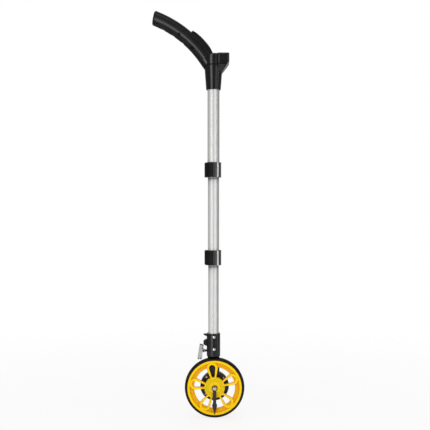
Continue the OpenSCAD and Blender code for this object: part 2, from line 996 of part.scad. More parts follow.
module wrap_outline() {
    pin_r = norm([pin_x, bolt_y]);
    rotate(pin_turn) {
        intersection() {
            difference() {
                circle(wrap_out);
                circle(wrap_in);
            }
            polygon([
                [0, 0],
                [2 * wrap_out, 0],
                for (turn = wrap_arc / 3 * [1, 2, 3]) 2 * wrap_out * [cos(turn), sin(turn)]
            ]);
        }
        translate([pin_r, 0]) circle(knuckle_r);
        polygon([
            [wrap_in + 0.4, 0.2],
            [pin_r + knuckle_r * 0.6, knuckle_r * 0.6],
            (wrap_out - 0.05) * [cos(24), sin(24)],
            (wrap_in + 0.4) * [cos(20), sin(20)]
        ]);
    }
}

module clamp_lever(z0) {
    inset = 1;
    color("#2a2a2c") at_pole() difference() {
        translate([0, 0, z0 + inset]) linear_extrude(clamp_h - 2 * inset) wrap_outline();
        translate([0, 0, z0]) rotate([0, 0, ear_turn]) {
            translate([pin_x, bolt_y, -eps]) cylinder(r = clamp_pin_d / 2 + run_fit, h = clamp_h + 2 * eps);
            translate([pin_x, bolt_y, clamp_h / 2 - eye_h / 2 - gap])
                cylinder(r = eye_r + gap, h = eye_h + 2 * gap);
        }
    }
}

module clamp_bolt(z0) {
    color("silver") in_ears(z0) difference() {
        union() {
            translate([pin_x, bolt_y, clamp_h / 2 - eye_h / 2]) cylinder(r = eye_r, h = eye_h);
            translate([pin_x, bolt_y, clamp_h / 2]) rotate([0, 90, 0])
                cylinder(r = bolt_d / 2, h = ear_hw - pin_x + nut_w + 1);
        }
        translate([pin_x, bolt_y, -eps]) cylinder(r = clamp_pin_d / 2 + fit, h = clamp_h + 2 * eps);
    }
}

module clamp_pin(z0) {
    inset = 1.5;
    color("gainsboro") in_ears(z0)
        translate([pin_x, bolt_y, inset]) cylinder(r = clamp_pin_d / 2, h = clamp_h - 2 * inset);
}

module clamp_nut(z0) {
    color("gainsboro") in_ears(z0) translate([ear_hw, bolt_y, clamp_h / 2]) rotate([0, 90, 0])
        difference() {
            cylinder(r = nut_af / 2 / cos(30), h = nut_w, $fn = 6);
            translate([0, 0, -eps]) cylinder(r = bolt_d / 2 + fit, h = nut_w + 2 * eps);
        }
}

module lower_clamp_body() {
    clamp_body(lower_clamp_z, middle_r, lower_r);
}

module upper_clamp_body() {
    clamp_body(upper_clamp_z, upper_r, middle_r);
}

module lower_clamp_lever() {
    clamp_lever(lower_clamp_z);
}

module upper_clamp_lever() {
    clamp_lever(upper_clamp_z);
}

module lower_clamp_bolt() {
    clamp_bolt(lower_clamp_z);
}

module upper_clamp_bolt() {
    clamp_bolt(upper_clamp_z);
}

module lower_clamp_pin() {
    clamp_pin(lower_clamp_z);
}

module upper_clamp_pin() {
    clamp_pin(upper_clamp_z);
}

module lower_clamp_nut() {
    clamp_nut(lower_clamp_z);
}

module upper_clamp_nut() {
    clamp_nut(upper_clamp_z);
}

// Head: a cup on the pole, a neck that carries the grip and a pod for the display

module pod_plan(inset) {
    round_rect(pole_x + pod_back + inset, pole_x + pod_front - inset,
        -pod_hw + inset, pod_hw - inset, pod_corner - inset);
}

module pod_side(inset) {
    polygon([
        [pole_x, bevel_foot_z + 2 * inset],
        [bevel_foot_x - 2 * inset, bevel_foot_z + 2 * inset],
        [pole_x + pod_front - inset, bevel_top_z + inset],
        [pole_x + pod_front - inset, pod_top + eps],
        [pole_x, pod_top + eps]
    ]);
}

module pod_front_view(inset) {
    polygon([
        for (side = [1, -1]) [side * (bevel_foot_hw - inset), bevel_foot_z + inset],
        [-pod_hw + inset, side_bevel_z + inset],
        [-pod_hw + inset, pod_top + eps],
        [pod_hw - inset, pod_top + eps],
        [pod_hw - inset, side_bevel_z + inset]
    ]);
}

module pod(inset, z0, z1) {
    intersection() {
        translate([0, 0, z0]) linear_extrude(z1 - z0) pod_plan(inset);
        slab_y(-pod_w, pod_w) pod_side(inset);
        slab_x(pole_x, pole_x + 2 * pod_front) pod_front_view(inset);
    }
}

module cup_cone(grow) {
    at_pole() translate([0, 0, cup_z]) cylinder(r1 = cup_r_low + grow, r2 = cup_r_high + grow, h = cup_h);
}

module head_cup() {
    color("#1b1b1d") difference() {
        union() {
            cup_cone(0);
            pod(0, bevel_foot_z - eps, seam_z);
        }
        translate([-pod_front, -pod_w, seam_z - gap]) cube([3 * pod_front, 2 * pod_w, pod_h]);
        at_pole() translate([0, 0, cup_z - eps]) cylinder(r = upper_r + fit, h = cup_h + 2 * eps);
        at_pole() translate([0, 0, seam_z - spigot_h - slide_fit])
            cylinder(r = spigot_r + slide_fit, h = spigot_h + eps);
        at_pole() translate([0, 0, cup_z + cup_h / 3]) rod_y(screw_r + fit, 0, 2 * socket_r);
        post_places() translate([0, 0, bevel_foot_z])
            cylinder(r = case_head_r + slide_fit, h = case_seat_z - bevel_foot_z);
        post_places() translate([0, 0, bevel_foot_z]) cylinder(r = case_screw_r + slide_fit, h = pod_h);
    }
}

module tube_screw() {
    reach = cup_r_low + (cup_r_high - cup_r_low) / 3 + gap;
    head_t = 1.6;
    color("silver") at_pole() translate([0, 0, cup_z + cup_h / 3]) {
        rod_y(screw_r, upper_r + slide_fit, reach + head_t / 2);
        rod_y(screw_head_r, reach, reach + head_t);
    }
}

// Where the grip meets the neck: the plane square to the bend at the grip's root
module root_side() {
    along = [cos(root_slope), sin(root_slope)];
    top = [bend_x, bend_z] + (grip_top + 2 * door_rise) * along;
    low = [bend_x, bend_z] + (grip_low - rubber_t - root_proud) * along;
    heel_x = pole_x - neck_r + heel_in;
    polygon([
        low,
        low + heel_run * [sin(root_slope), -cos(root_slope)],
        [heel_x - heel_w, seam_z - heel_drop],
        [heel_x, seam_z - heel_drop],
        [heel_x, seam_z],
        [pole_x + 2 * neck_r, seam_z],
        [pole_x + 2 * neck_r, top[1]],
        top
    ]);
}

module neck_plan() {
    at_pole() circle(neck_r);
    translate([pole_x - 2 * neck_r, -root_hw]) square([2 * neck_r, 2 * root_hw]);
}

// The grip's outline, carried straight on from its root to the pole
module root_run() {
    root_mid = grip_low - rubber_t + root_hw;
    intersection() {
        on_arc(grip_len, 0) translate([0, 0, -root_reach]) linear_extrude(root_reach + heel_w) {
            translate([root_mid, 0]) circle(root_hw);
            translate([root_mid, -root_hw]) square([grip_top + 2 * door_rise - root_mid, 2 * root_hw]);
        }
        translate([pole_x - root_reach, -pod_w, seam_z - cup_h]) cube([root_reach, 2 * pod_w, cup_h + pod_h]);
    }
}

module post_places() {
    for (x = [pod_back + post_in, pod_front - post_front], side = [-1, 1])
        translate([pole_x + x, side * (pod_hw - post_in), 0]) children();
}

module head_hollow() {
    wall_x = pole_x - bezel_back + bezel_rest;
    low_z = seam_z - spigot_h - eps;
    rail_w = 3;
    rail_h = 4;
    difference() {
        pod(head_wall, seam_z - eps, pod_top);
        post_places() translate([0, 0, seam_z - 2 * eps]) cylinder(r = post_r, h = pod_h + 2 * eps);
        for (y = [-board_hw, board_hw - rail_w]) translate([pole_x, y, board_z - rail_h])
            cube([pod_front, rail_w, rail_h]);
    }
    intersection() {
        at_pole() translate([0, 0, low_z]) cylinder(r = spigot_r - head_wall, h = pod_h + spigot_h);
        translate([wall_x, -pod_w, low_z]) cube([pod_w, 2 * pod_w, pod_h + spigot_h]);
    }
}

module head_case() {
    color("#1d1d1f") difference() {
        union() {
            intersection() {
                union() {
                    at_pole() translate([0, 0, seam_z - cup_h]) cylinder(r = neck_r, h = cup_h + pod_h);
                    root_run();
                }
                slab_y(-pod_w, pod_w) root_side();
            }
            pod(0, seam_z, pod_top);
            at_pole() translate([0, 0, seam_z - spigot_h]) cylinder(r = spigot_r, h = spigot_h + eps);
            grip_arc(grip_len - tang_len, grip_len + eps) grip_section(inner_r - slide_fit);
        }
        difference() {
            translate([0, 0, -gap]) cup_cone(gap);
            at_pole() translate([0, 0, cup_z]) cylinder(r = spigot_r, h = cup_h + eps);
        }
        translate([-4 * pod_front, -pod_w, bezel_z]) cube([8 * pod_front, 2 * pod_w, 2 * pod_h]);
        head_hollow();
        grip_arc(grip_len - tang_len - eps, grip_len - 2) grip_section(inner_r - slide_fit - tang_wall);
        on_arc(grip_len - 4, grip_bend) translate([0, 0, -wire_len]) cylinder(r = wire_r, h = wire_len);
        post_places() translate([0, 0, seam_z - eps]) cylinder(r = case_screw_r + slide_fit, h = pod_h);
    }
}

module bezel_plan() {
    pod_plan(0);
    intersection() {
        neck_plan();
        translate([pole_x - bezel_back, -pod_w]) square([pod_front, 2 * pod_w]);
    }
}

module button_places() {
    for (i = [0 : button_n - 1])
        translate([button_x, (i - (button_n - 1) / 2) * button_pitch, 0]) children();
}

module lens_box(clear, z0, z1) {
    x0 = pole_x + pod_back + lens_in;
    x1 = pole_x + pod_front - lens_in;
    translate([x0 + clear, -lens_hw + clear, z0])
        cube([x1 - x0 - 2 * clear, 2 * (lens_hw - clear), z1 - z0]);
}

module display_bezel() {
    color("#161618") difference() {
        translate([0, 0, bezel_z]) linear_extrude(bezel_t) bezel_plan();
        lens_box(0, pod_top - lens_t - 0.2, pod_top + eps);
        lens_box(window_in, bezel_z - eps, pod_top + eps);
        button_places() translate([0, 0, bezel_z - eps])
            cylinder(r = button_d / 2 + gap, h = bezel_t + 2 * eps);
        post_places() translate([0, 0, bezel_z - eps])
            cylinder(r = case_screw_r + fit, h = bezel_t / 2 + eps);
    }
}

module display_lens() {
    color("slategray") lens_box(slide_fit, pod_top - lens_t - 0.2, pod_top - 0.2);
}

module lcd_panel() {
    color("darkseagreen") lens_box(lcd_in, bezel_z - slide_fit - lcd_t, bezel_z - slide_fit);
}

module contact_strips() {
    strip = 2;
    color("dimgray") intersection() {
        lens_box(lcd_in, board_z + board_t, bezel_z - slide_fit - lcd_t);
        union() {
            for (x = [pod_back + lens_in + lcd_in, pod_front - lens_in - lcd_in - strip])
                translate([pole_x + x, -pod_w, seam_z]) cube([strip, 2 * pod_w, pod_h]);
        }
    }
}

module main_board() {
    tongue_hw = button_pitch + 3;
    tongue_x = button_x - 4.5;
    tongue_len = 8;
    link_hw = 10.2;
    color("darkgreen") {
        translate([pole_x + pod_back + head_wall + gap, -board_hw, board_z])
            cube([pod_front - pod_back - 2 * (head_wall + gap), 2 * board_hw, board_t]);
        translate([tongue_x, -tongue_hw, board_z]) cube([tongue_len, 2 * tongue_hw, board_t]);
        translate([tongue_x, -link_hw, board_z])
            cube([pole_x + pod_back + head_wall + 2 - tongue_x, 2 * link_hw, board_t]);
    }
}

module switches() {
    switch_w = 6;
    color("gray") button_places() translate([-switch_w / 2, -switch_w / 2, board_z + board_t])
        cube([switch_w, switch_w, switch_h]);
}

module case_screws() {
    color("silver") post_places() translate([0, 0, case_seat_z]) {
        translate([0, 0, -case_head_h]) cylinder(r = case_head_r, h = case_head_h - slide_fit);
        translate([0, 0, -case_head_h])
            cylinder(r = case_screw_r, h = bezel_z + bezel_t / 2 - gap - case_seat_z + case_head_h);
    }
}

module button(i) {
    translate([button_x, (i - (button_n - 1) / 2) * button_pitch, 0]) {
        translate([0, 0, bezel_z - slide_fit - flange_h])
            cylinder(r = button_d / 2, h = bezel_t + slide_fit + flange_h + button_rise);
        translate([0, 0, bezel_z - slide_fit - flange_h])
            cylinder(r = button_d / 2 + flange_rim, h = flange_h);
    }
}

module button_power() {
    color("firebrick") button(0);
}

module button_zero() {
    color("lightgray") button(1);
}

module button_unit() {
    color("lightgray") button(2);
}

// Grip: two shells along a bend, with a rubber insert below and a battery door above

function arc_turn(s) = root_slope + (grip_len - s) * deg_per_mm;

// A section in radius and depth, swept along the bend from s0 to s1
module grip_arc(s0, s1) {
    translate([bend_x, 0, bend_z]) rotate([90, 0, 0]) rotate([0, 0, arc_turn(s1)])
        rotate_extrude(angle = arc_turn(s0) - arc_turn(s1), $fn = bend_facets) children();
}

// A place on the bend, with X pointing out of it and Z toward the free end
module on_arc(s, rho) {
    translate([bend_x, 0, bend_z]) rotate([0, -arc_turn(s), 0]) translate([rho, 0, 0]) children();
}

module grip_section(r) {
    translate([section_top, 0]) circle(r);
    translate([section_low, 0]) circle(r);
    translate([section_low, -r]) square([section_top - section_low, 2 * r]);
}

// One half of the section; side is 1 for the near half and -1 for the far half
module grip_half(r, side) {
    intersection() {
        grip_section(r);
        translate([0, side > 0 ? part_line : -part_line - grip_w]) square([2 * grip_bend, grip_w]);
    }
}

// All that lies past the leaning plane of the free end
module past_end(depth) {
    on_arc(0, grip_top) rotate([0, -end_tilt, 0])
        translate([-2 * grip_d, -grip_w, depth]) cube([3 * grip_d, 2 * grip_w, 2 * grip_d]);
}

// A slice of the grip between two leaning planes
module end_slice(d0, d1) {
    intersection() {
        difference() {
            past_end(d0);
            past_end(d1);
        }
        grip_arc(-2 * cap_len, end_reach) children();
    }
}

// Rods on the lines of the grip screws, in depths of the grip
module screw_rods(r, y0, y1) {
    for (p = screw_at) on_arc(p[0], grip_bend - p[1]) rod_y(r, y0, y1);
}

// Rods on the lines of the grip screws, in depths from each head's seat
module screw_seats(r, y0, y1) {
    for (p = screw_at) on_arc(p[0], grip_bend - p[1]) rod_y(r, p[2] + y0, p[2] + y1);
}

module at_hinge() {
    on_arc(hinge_s, hinge_rho) children();
}

module hinge_lug(y0) {
    foot = 7;
    at_hinge() {
        rod_y(knuckle_door_r, y0, y0 + lug_door);
        translate([-foot, y0, -knuckle_door_r]) cube([foot, lug_door, 2 * knuckle_door_r]);
    }
}

module tray_ribs() {
    on_cells() for (z = [-rib_place, rib_place])
        translate([-cell_r - tray_floor - rib_h - fit, -grip_w, z - rib_t / 2])
            cube([rib_h, 2 * grip_w, rib_t]);
}

module grip_shell(side) {
    lug_y = side > 0 ? -knuckle_hw - gap - lug_door : knuckle_hw + gap;
    difference() {
        union() {
            difference() {
                grip_arc(-eps, grip_len - slide_fit) difference() {
                    grip_half(grip_r, side);
                    grip_section(inner_r);
                }
                grip_arc(cell_mid - opening_len / 2, cell_mid + opening_len / 2)
                    translate([section_top, -opening_hw]) square([2 * grip_r, 2 * opening_hw]);
                past_end(0);
            }
            intersection() {
                union() {
                    screw_rods(screw_boss_r, -grip_w, grip_w);
                    tray_ribs();
                }
                grip_arc(end_reach, grip_len - tang_len) grip_half(grip_r - fit, side);
            }
            hinge_lug(lug_y);
        }
        screw_rods(screw_r + fit, -grip_w, screw_end + gap);
        if (side > 0) screw_seats(screw_head_r + slide_fit, -grip_w, 0);
        at_hinge() rod_y(hinge_pin_r + fit, -grip_w, grip_w);
    }
}

module grip_shell_near() {
    color("#1a1a1c") grip_shell(1);
}

module grip_shell_far() {
    color("#1a1a1c") grip_shell(-1);
}

module finger_grip() {
    rubber_low = grip_low - rubber_t;
    color("#2b2b2b") difference() {
        grip_arc(rubber_start, rubber_end) difference() {
            intersection() {
                translate([rubber_low + rubber_r, 0]) circle(rubber_r);
                translate([rubber_low - eps, -2 * rubber_r])
                    square([rubber_edge - rubber_low + eps, 4 * rubber_r]);
            }
            translate([section_low, 0]) circle(grip_r + fit);
        }
        for (i = [0 : groove_n - 1])
            on_arc(groove_first + i * groove_pitch, rubber_low + groove_depth - groove_r)
                rod_y(groove_r, -grip_w, grip_w);
        screw_seats(screw_head_r + 1, -grip_w, 0);
    }
}

module grip_end_cap() {
    color("#1a1a1c") {
        end_slice(slide_fit, cap_len - cap_step) grip_section(grip_r);
        end_slice(slide_fit, cap_len) grip_section(grip_r - cap_step);
        end_slice(-cap_plug, 2 * slide_fit) difference() {
            grip_section(inner_r - slide_fit);
            grip_section(inner_r - slide_fit - grip_wall);
        }
    }
}

module grip_screws() {
    color("silver") {
        screw_seats(screw_head_r, -screw_head_h, -slide_fit);
        for (p = screw_at) on_arc(p[0], grip_bend - p[1]) rod_y(screw_r, p[2] - eps, screw_end);
    }
}

module on_cells() {
    on_arc(cell_mid, grip_bend + cell_lift) children();
}

module cell_places() {
    for (side = [-1, 1]) translate([0, side * (cell_r + slide_fit), 0]) children();
}

module battery_tray() {
    tray_hw = inner_r - 3 * gap;
    half_len = cell_len / 2 + contact_t + 2 * slide_fit;
    color("#3a3a3c") on_cells() difference() {
        translate([-cell_r - tray_floor, -tray_hw, -half_len - tray_end])
            cube([tray_floor + cell_r, 2 * tray_hw, 2 * (half_len + tray_end)]);
        translate([-cell_r, -2 * cell_r - gap, -half_len])
            cube([2 * cell_r, 4 * cell_r + 2 * gap, 2 * half_len]);
    }
}

module battery_cells() {
    nub_r = 1.9;
    nub_h = 0.9;
    color("steelblue") on_cells() cell_places() {
        translate([0, 0, -cell_len / 2]) cylinder(r = cell_r - slide_fit, h = cell_len - nub_h);
        translate([0, 0, cell_len / 2 - nub_h - slide_fit]) cylinder(r = nub_r, h = nub_h + slide_fit);
    }
}

module battery_contacts() {
    plate = 8;
    mid = cell_len / 2 + contact_t / 2 + slide_fit;
    color("gold") on_cells() cell_places() for (side = [-1, 1])
        translate([-cell_r + slide_fit, -plate / 2, side * mid - contact_t / 2])
            cube([plate, plate, contact_t]);
}

module door_outline(inset) {
    translate([door_centre, 0]) circle(door_r - inset);
    translate([section_top, -door_r + inset]) square([door_centre - section_top, door_w - 2 * inset]);
}

module door_body(inset) {
    intersection() {
        grip_arc(door_start + inset, door_end - inset) door_outline(inset);
        on_arc(door_mid, grip_top + door_rise - door_crown) rod_y(door_crown - inset, -door_w, door_w);
    }
}

module battery_door() {
    slot_w = lug_door + 2 * gap;
    slot_r = knuckle_door_r + gap;
    color("#202022") difference() {
        union() {
            difference() {
                door_body(0);
                door_body(door_wall);
                grip_arc(door_start - eps, door_end + eps) translate([section_top, 0]) circle(grip_r + gap);
            }
            at_hinge() rod_y(knuckle_door_r, -knuckle_hw, knuckle_hw);
        }
        at_hinge() rod_y(hinge_pin_r + run_fit, -grip_w, grip_w);
        at_hinge() for (side = [-1, 1])
            translate([-4 * slot_r, side * (knuckle_hw + slot_w / 2) - slot_w / 2, -slot_r])
                cube([8 * slot_r, slot_w, 2 * slot_r]);
    }
}

module door_pin() {
    half = knuckle_hw + gap + lug_door;
    color("gainsboro") at_hinge() rod_y(hinge_pin_r, -half, half);
}

wheel_rim();
tyre();
wheel_bearings();
bearing_spacer();
magnet_ring();
pointer();
axle();
axle_washer();
axle_nut();
axle_rear_nut();
fork_arm();
fork_rivets();
sensor_cover();
cover_screws();
sensor_board();
brake_lever();
brake_pad();
brake_spring();
brake_pin();
lower_tube();
lower_bush();
middle_tube();
middle_bush();
upper_tube();
tube_screw();
lower_clamp_body();
lower_clamp_lever();
lower_clamp_bolt();
lower_clamp_pin();
lower_clamp_nut();
upper_clamp_body();
upper_clamp_lever();
upper_clamp_bolt();
upper_clamp_pin();
upper_clamp_nut();
head_cup();
head_case();
display_bezel();
display_lens();
lcd_panel();
contact_strips();
main_board();
switches();
case_screws();
button_power();
button_zero();
button_unit();
grip_shell_near();
grip_shell_far();
finger_grip();
grip_end_cap();
grip_screws();
battery_tray();
battery_cells();
battery_contacts();
battery_door();
door_pin();
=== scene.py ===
"""Looks of the digital measuring wheel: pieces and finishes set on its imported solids, in metres."""

import json
import math

import bmesh
import bpy
from mathutils import Matrix, Vector
from mathutils.bvhtree import BVHTree


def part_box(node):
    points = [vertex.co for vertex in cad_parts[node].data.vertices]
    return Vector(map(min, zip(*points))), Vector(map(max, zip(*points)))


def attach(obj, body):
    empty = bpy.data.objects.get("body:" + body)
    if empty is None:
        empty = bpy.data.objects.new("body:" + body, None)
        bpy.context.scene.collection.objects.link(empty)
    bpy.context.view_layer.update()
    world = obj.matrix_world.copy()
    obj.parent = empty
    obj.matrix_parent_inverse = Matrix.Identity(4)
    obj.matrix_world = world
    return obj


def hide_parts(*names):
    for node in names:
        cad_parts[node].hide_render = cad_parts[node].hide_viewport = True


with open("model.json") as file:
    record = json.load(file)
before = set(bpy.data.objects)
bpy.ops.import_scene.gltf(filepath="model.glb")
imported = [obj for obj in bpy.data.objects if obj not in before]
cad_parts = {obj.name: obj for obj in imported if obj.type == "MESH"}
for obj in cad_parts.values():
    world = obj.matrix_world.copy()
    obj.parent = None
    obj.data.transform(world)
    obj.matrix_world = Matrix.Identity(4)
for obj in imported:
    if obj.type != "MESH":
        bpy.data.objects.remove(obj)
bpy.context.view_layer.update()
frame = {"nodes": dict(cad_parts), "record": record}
nodes = frame["nodes"]
body_of = {n: b for b, members in frame["record"]["behaviour"]["bodies"].items() for n in members}
slot_of = {n: o.data.materials[0].name for n, o in nodes.items()}
MM = 0.001

# Places shared with the solids, in millimetres and degrees
AXLE_Z = 79.577
POLE_X = -3.0
NECK_R = 24.4
BEND = (-267.72, 788.0)
BEND_R = 295.0
ROOT_TURN = 34.4
GRIP_LEN = 178.0
INSERT_MID, INSERT_R = 294.9, 18.0
CLAMP_R = 20.6
CLAMP_FEET = (405.5, 639.1)
PIVOT = (-29.3, 177.65)
BRAKE_LEAN = 9.4
BUTTON_X = 2.0

# Sizes of what only the scene has, in millimetres and degrees
TRIM_TURN, TRIM_W, TRIM_SUNK = 35.0, 5.4, 1.2
SEAM, SEAM_SUNK, SEAM_MARGIN = (936.0, 938.8), 1.1, 0.1

# Steps across a rounded edge
FACETS = 3


# Finishes


class Finish:
    """A material whose colour, roughness and relief vary over the piece's own coordinates."""

    def __init__(self, name, **sockets):
        self.material = bpy.data.materials.new(name)
        self.material.use_nodes = True
        self.tree = self.material.node_tree
        self.shader = self.tree.nodes["Principled BSDF"]
        for socket, value in sockets.items():
            self.shader.inputs[socket.replace("_", " ")].default_value = value

    def add(self, kind, **sockets):
        node = self.tree.nodes.new("ShaderNode" + kind)
        for socket, value in sockets.items():
            node.inputs[socket.replace("_", " ")].default_value = value
        return node

    def link(self, out, into):
        self.tree.links.new(out, into)

    def place(self, stretch=(1, 1, 1), shift=(0, 0, 0)):
        coords = self.add("TexCoord")
        mapping = self.add("Mapping", Scale=stretch, Location=shift)
        self.link(coords.outputs["Object"], mapping.inputs["Vector"])
        return mapping.outputs["Vector"]

    def noise(self, scale, detail=3.0, stretch=(1, 1, 1)):
        node = self.add("TexNoise", Scale=scale, Detail=detail)
        self.link(self.place(stretch), node.inputs["Vector"])
        return node.outputs["Fac"]

    def cells(self, scale):
        node = self.add("TexVoronoi", Scale=scale)
        self.link(self.place(), node.inputs["Vector"])
        return node.outputs["Distance"]

    def span(self, value, low, high, to_low=0.0, to_high=1.0):
        node = self.add("MapRange", From_Min=low, From_Max=high, To_Min=to_low, To_Max=to_high)
        self.link(value, node.inputs["Value"])
        return node.outputs["Result"]

    def ramp(self, value, stops):
        node = self.add("ValToRGB")
        elements = node.color_ramp.elements
        while len(elements) < len(stops):
            elements.new(0.5)
        for element, (at, colour) in zip(elements, stops):
            element.position = at
            element.color = (*colour, 1)
        self.link(value, node.inputs["Fac"])
        return node.outputs["Color"]

    def blend(self, amount, first, second):
        node = self.add("Mix")
        node.data_type = "RGBA"
        self.link(amount, node.inputs["Factor"])
        for source, into in ((first, node.inputs[6]), (second, node.inputs[7])):
            if isinstance(source, tuple):
                into.default_value = (*source, 1)
            else:
                self.link(source, into)
        return node.outputs[2]

    def edges(self, radius):
        least, most = 0.02, 0.25
        bevel = self.add("Bevel", Radius=radius)
        bevel.samples = 4
        flat = self.add("NewGeometry")
        dot = self.add("VectorMath")
        dot.operation = "DOT_PRODUCT"
        self.link(bevel.outputs["Normal"], dot.inputs[0])
        self.link(flat.outputs["Normal"], dot.inputs[1])
        return self.span(dot.outputs["Value"], 1 - least, 1 - most)

    def colour(self, socket):
        self.link(socket, self.shader.inputs["Base Color"])
        return self

    def rough(self, value, low, high):
        self.link(self.span(value, 0.25, 0.75, low, high), self.shader.inputs["Roughness"])
        return self

    def relief(self, value, depth):
        bump = self.add("Bump", Distance=depth, Strength=1.0)
        self.link(value, bump.inputs["Height"])
        into = self.shader.inputs["Normal"]
        if into.is_linked:
            self.link(into.links[0].from_socket, bump.inputs["Normal"])
        self.link(bump.outputs["Normal"], into)
        return self


def moulded(name, dark, light, rough, grain=1400, depth=0.000005, worn=None, **sockets):
    """A moulded plastic: a spark grain, soft clouding and slightly rubbed edges."""
    made = Finish(name, **sockets)
    tone = made.ramp(made.noise(scale=38, detail=4), [(0.3, dark), (0.7, light)])
    if worn:
        tone = made.blend(made.edges(radius=0.0006), tone, worn)
    made.colour(tone)
    made.rough(made.noise(scale=70, detail=4), *rough)
    return made.relief(made.noise(grain, detail=2), depth)


def rubber(name, dark, light, rough, grain=900, depth=0.00001):
    """A soft moulded rubber with a dull bloom and fine pitting."""
    made = Finish(name, Specular_IOR_Level=0.22)
    pits_per_grain, pit_share = 1.6, 0.5
    made.colour(made.ramp(made.noise(scale=55, detail=5), [(0.3, dark), (0.72, light)]))
    made.rough(made.noise(scale=120), *rough)
    made.relief(made.noise(grain), depth)
    return made.relief(made.cells(grain * pits_per_grain), depth * pit_share)


def metal(name, dark, light, rough, stretch=(1, 1, 1), grain=600, depth=0.000008, **sockets):
    """A metal with a fine grain that runs along the stretched direction."""
    made = Finish(name, **{"Metallic": 1.0, **sockets})
    coarser = 0.6
    streak = made.noise(grain, stretch=stretch)
    made.colour(made.ramp(streak, [(0.25, dark), (0.75, light)]))
    made.rough(made.noise(grain * coarser, stretch=stretch), *rough)
    return made.relief(streak, depth)


def tube_metal():
    """Drawn aluminium: satin, with fine streaks along its length, bright and dark bands across it that are
    painted highlights and painted shade, and painted shade close under the collars.
    """
    made = Finish("tube_satin", Metallic=0.5)
    left, right, along = -0.019, 0.013, (1, 1, 0.01)
    # The colour of the painted shade under the collars, and how far it reaches below each foot.
    reach, edge, collar_shade_tone = 0.036, 0.001, (0.07, 0.07, 0.068)
    # Bands across the tube, fixed by its X: pale is a painted highlight, dull is painted shade.
    pale, plain, dull = (0.93, 0.93, 0.92), (0.70, 0.70, 0.69), (0.52, 0.52, 0.52)
    black, white = (0, 0, 0), (1, 1, 1)
    axes = made.add("SeparateXYZ")
    made.link(made.place(), axes.inputs["Vector"])
    tone = made.ramp(made.span(axes.outputs["X"], left, right), [
        (0.0, plain), (0.14, plain), (0.22, pale), (0.27, pale), (0.34, plain), (0.44, dull), (0.5, plain),
        (0.57, pale), (0.66, pale), (0.8, dull), (1.0, dull),
    ])
    fine = made.span(made.noise(2600, stretch=along), 0.3, 0.7, 0.0, 0.12)
    tone = made.blend(fine, tone, (0.6, 0.6, 0.6))
    # A darker band below each collar's foot, scaled by occlusion: painted shade cast by the collar.
    under = [(0.0, black)]
    for foot in (z * MM for z in CLAMP_FEET):
        under += [(foot - reach, black), (foot - reach + edge, white), (foot, white), (foot + edge, black)]
    collar_shade = made.add("Math")
    collar_shade.operation = "MULTIPLY"
    near = made.add("AmbientOcclusion", Distance=0.04)
    made.link(made.span(near.outputs["AO"], 0.99, 0.78, 0.0, 0.9), collar_shade.inputs[0])
    made.link(made.ramp(axes.outputs["Z"], under), collar_shade.inputs[1])
    made.colour(made.blend(collar_shade.outputs[0], tone, collar_shade_tone))
    return made.rough(made.noise(1500, stretch=along), 0.36, 0.42)


def yellow_plastic():
    """Bright on the lip and beads; the duller hub disc and the deeper orange down in the dish are painted
    shade on one yellow.
    """
    made = Finish("wheel_yellow", Specular_IOR_Level=0.16)
    half_wide = 0.0105
    lip, hub, dish = (0.97, 0.62, 0.001), (0.72, 0.52, 0.001), (0.82, 0.38, 0.002)
    cloudy, dusty = (0.78, 0.48, 0.004), (0.66, 0.46, 0.03)
    axes = made.add("SeparateXYZ")
    made.link(made.place(), axes.inputs["Vector"])
    # Tone by depth from the front: the hub and dish tones are painted shade.
    tone = made.ramp(made.span(axes.outputs["Y"], -half_wide, half_wide), [
        (0.0, lip), (0.10, lip), (0.13, hub), (0.17, hub), (0.225, dish), (0.5, dish), (0.62, lip),
    ])
    tone = made.blend(made.span(made.noise(60, detail=4), 0.3, 0.7, 0.0, 0.16), tone, cloudy)
    tone = made.blend(made.span(made.noise(240, detail=5), 0.62, 0.8, 0.0, 0.25), tone, dusty)
    made.colour(tone)
    made.rough(made.noise(90, detail=4), 0.28, 0.44)
    return made.relief(made.noise(1500, detail=2), depth=0.000004)


def tyre_rubber():
    """Black rubber with a little dust on the tread."""
    made = rubber("tyre_black", (0.004, 0.0036, 0.003), (0.008, 0.0072, 0.006), (0.46, 0.62), grain=1100)
    tread_in, tread_out, dust = 0.0786, 0.0794, (0.055, 0.05, 0.043)
    radius = made.add("VectorMath")
    radius.operation = "LENGTH"
    made.link(made.place((1, 0, 1), (0, 0, -AXLE_Z * MM)), radius.inputs[0])
    patch = made.add("Math")
    patch.operation = "MULTIPLY"
    made.link(made.span(radius.outputs["Value"], tread_in, tread_out, 0.0, 0.55), patch.inputs[0])
    made.link(made.span(made.noise(70, detail=5), 0.4, 0.75), patch.inputs[1])
    plain = made.shader.inputs["Base Color"].links[0].from_socket
    return made.colour(made.blend(patch.outputs[0], plain, dust))


def lens_plastic():
    """A clear moulded window with a faint haze."""
    made = Finish("lens_clear", Transmission_Weight=1.0, IOR=1.49, Roughness=0.03)
    stops = [(0.3, (0.93, 0.95, 0.95)), (0.7, (0.97, 0.98, 0.98))]
    made.colour(made.ramp(made.noise(40, detail=2), stops))
    return made.rough(made.noise(120, detail=4), 0.01, 0.05)


def board_laminate():
    """Green laminate with paler tracks."""
    made = Finish("board_green", Specular_IOR_Level=0.5, Coat_Weight=0.4, Coat_Roughness=0.25)
    tracks = made.add(
        "TexBrick", Scale=160.0, Mortar_Size=0.03, Brick_Width=0.7, Row_Height=0.2,
        Color1=(0.008, 0.075, 0.03, 1), Color2=(0.010, 0.090, 0.036, 1), Mortar=(0.03, 0.17, 0.07, 1),
    )
    made.link(made.place(), tracks.inputs["Vector"])
    made.colour(tracks.outputs["Color"])
    return made.rough(made.noise(200), 0.35, 0.5)


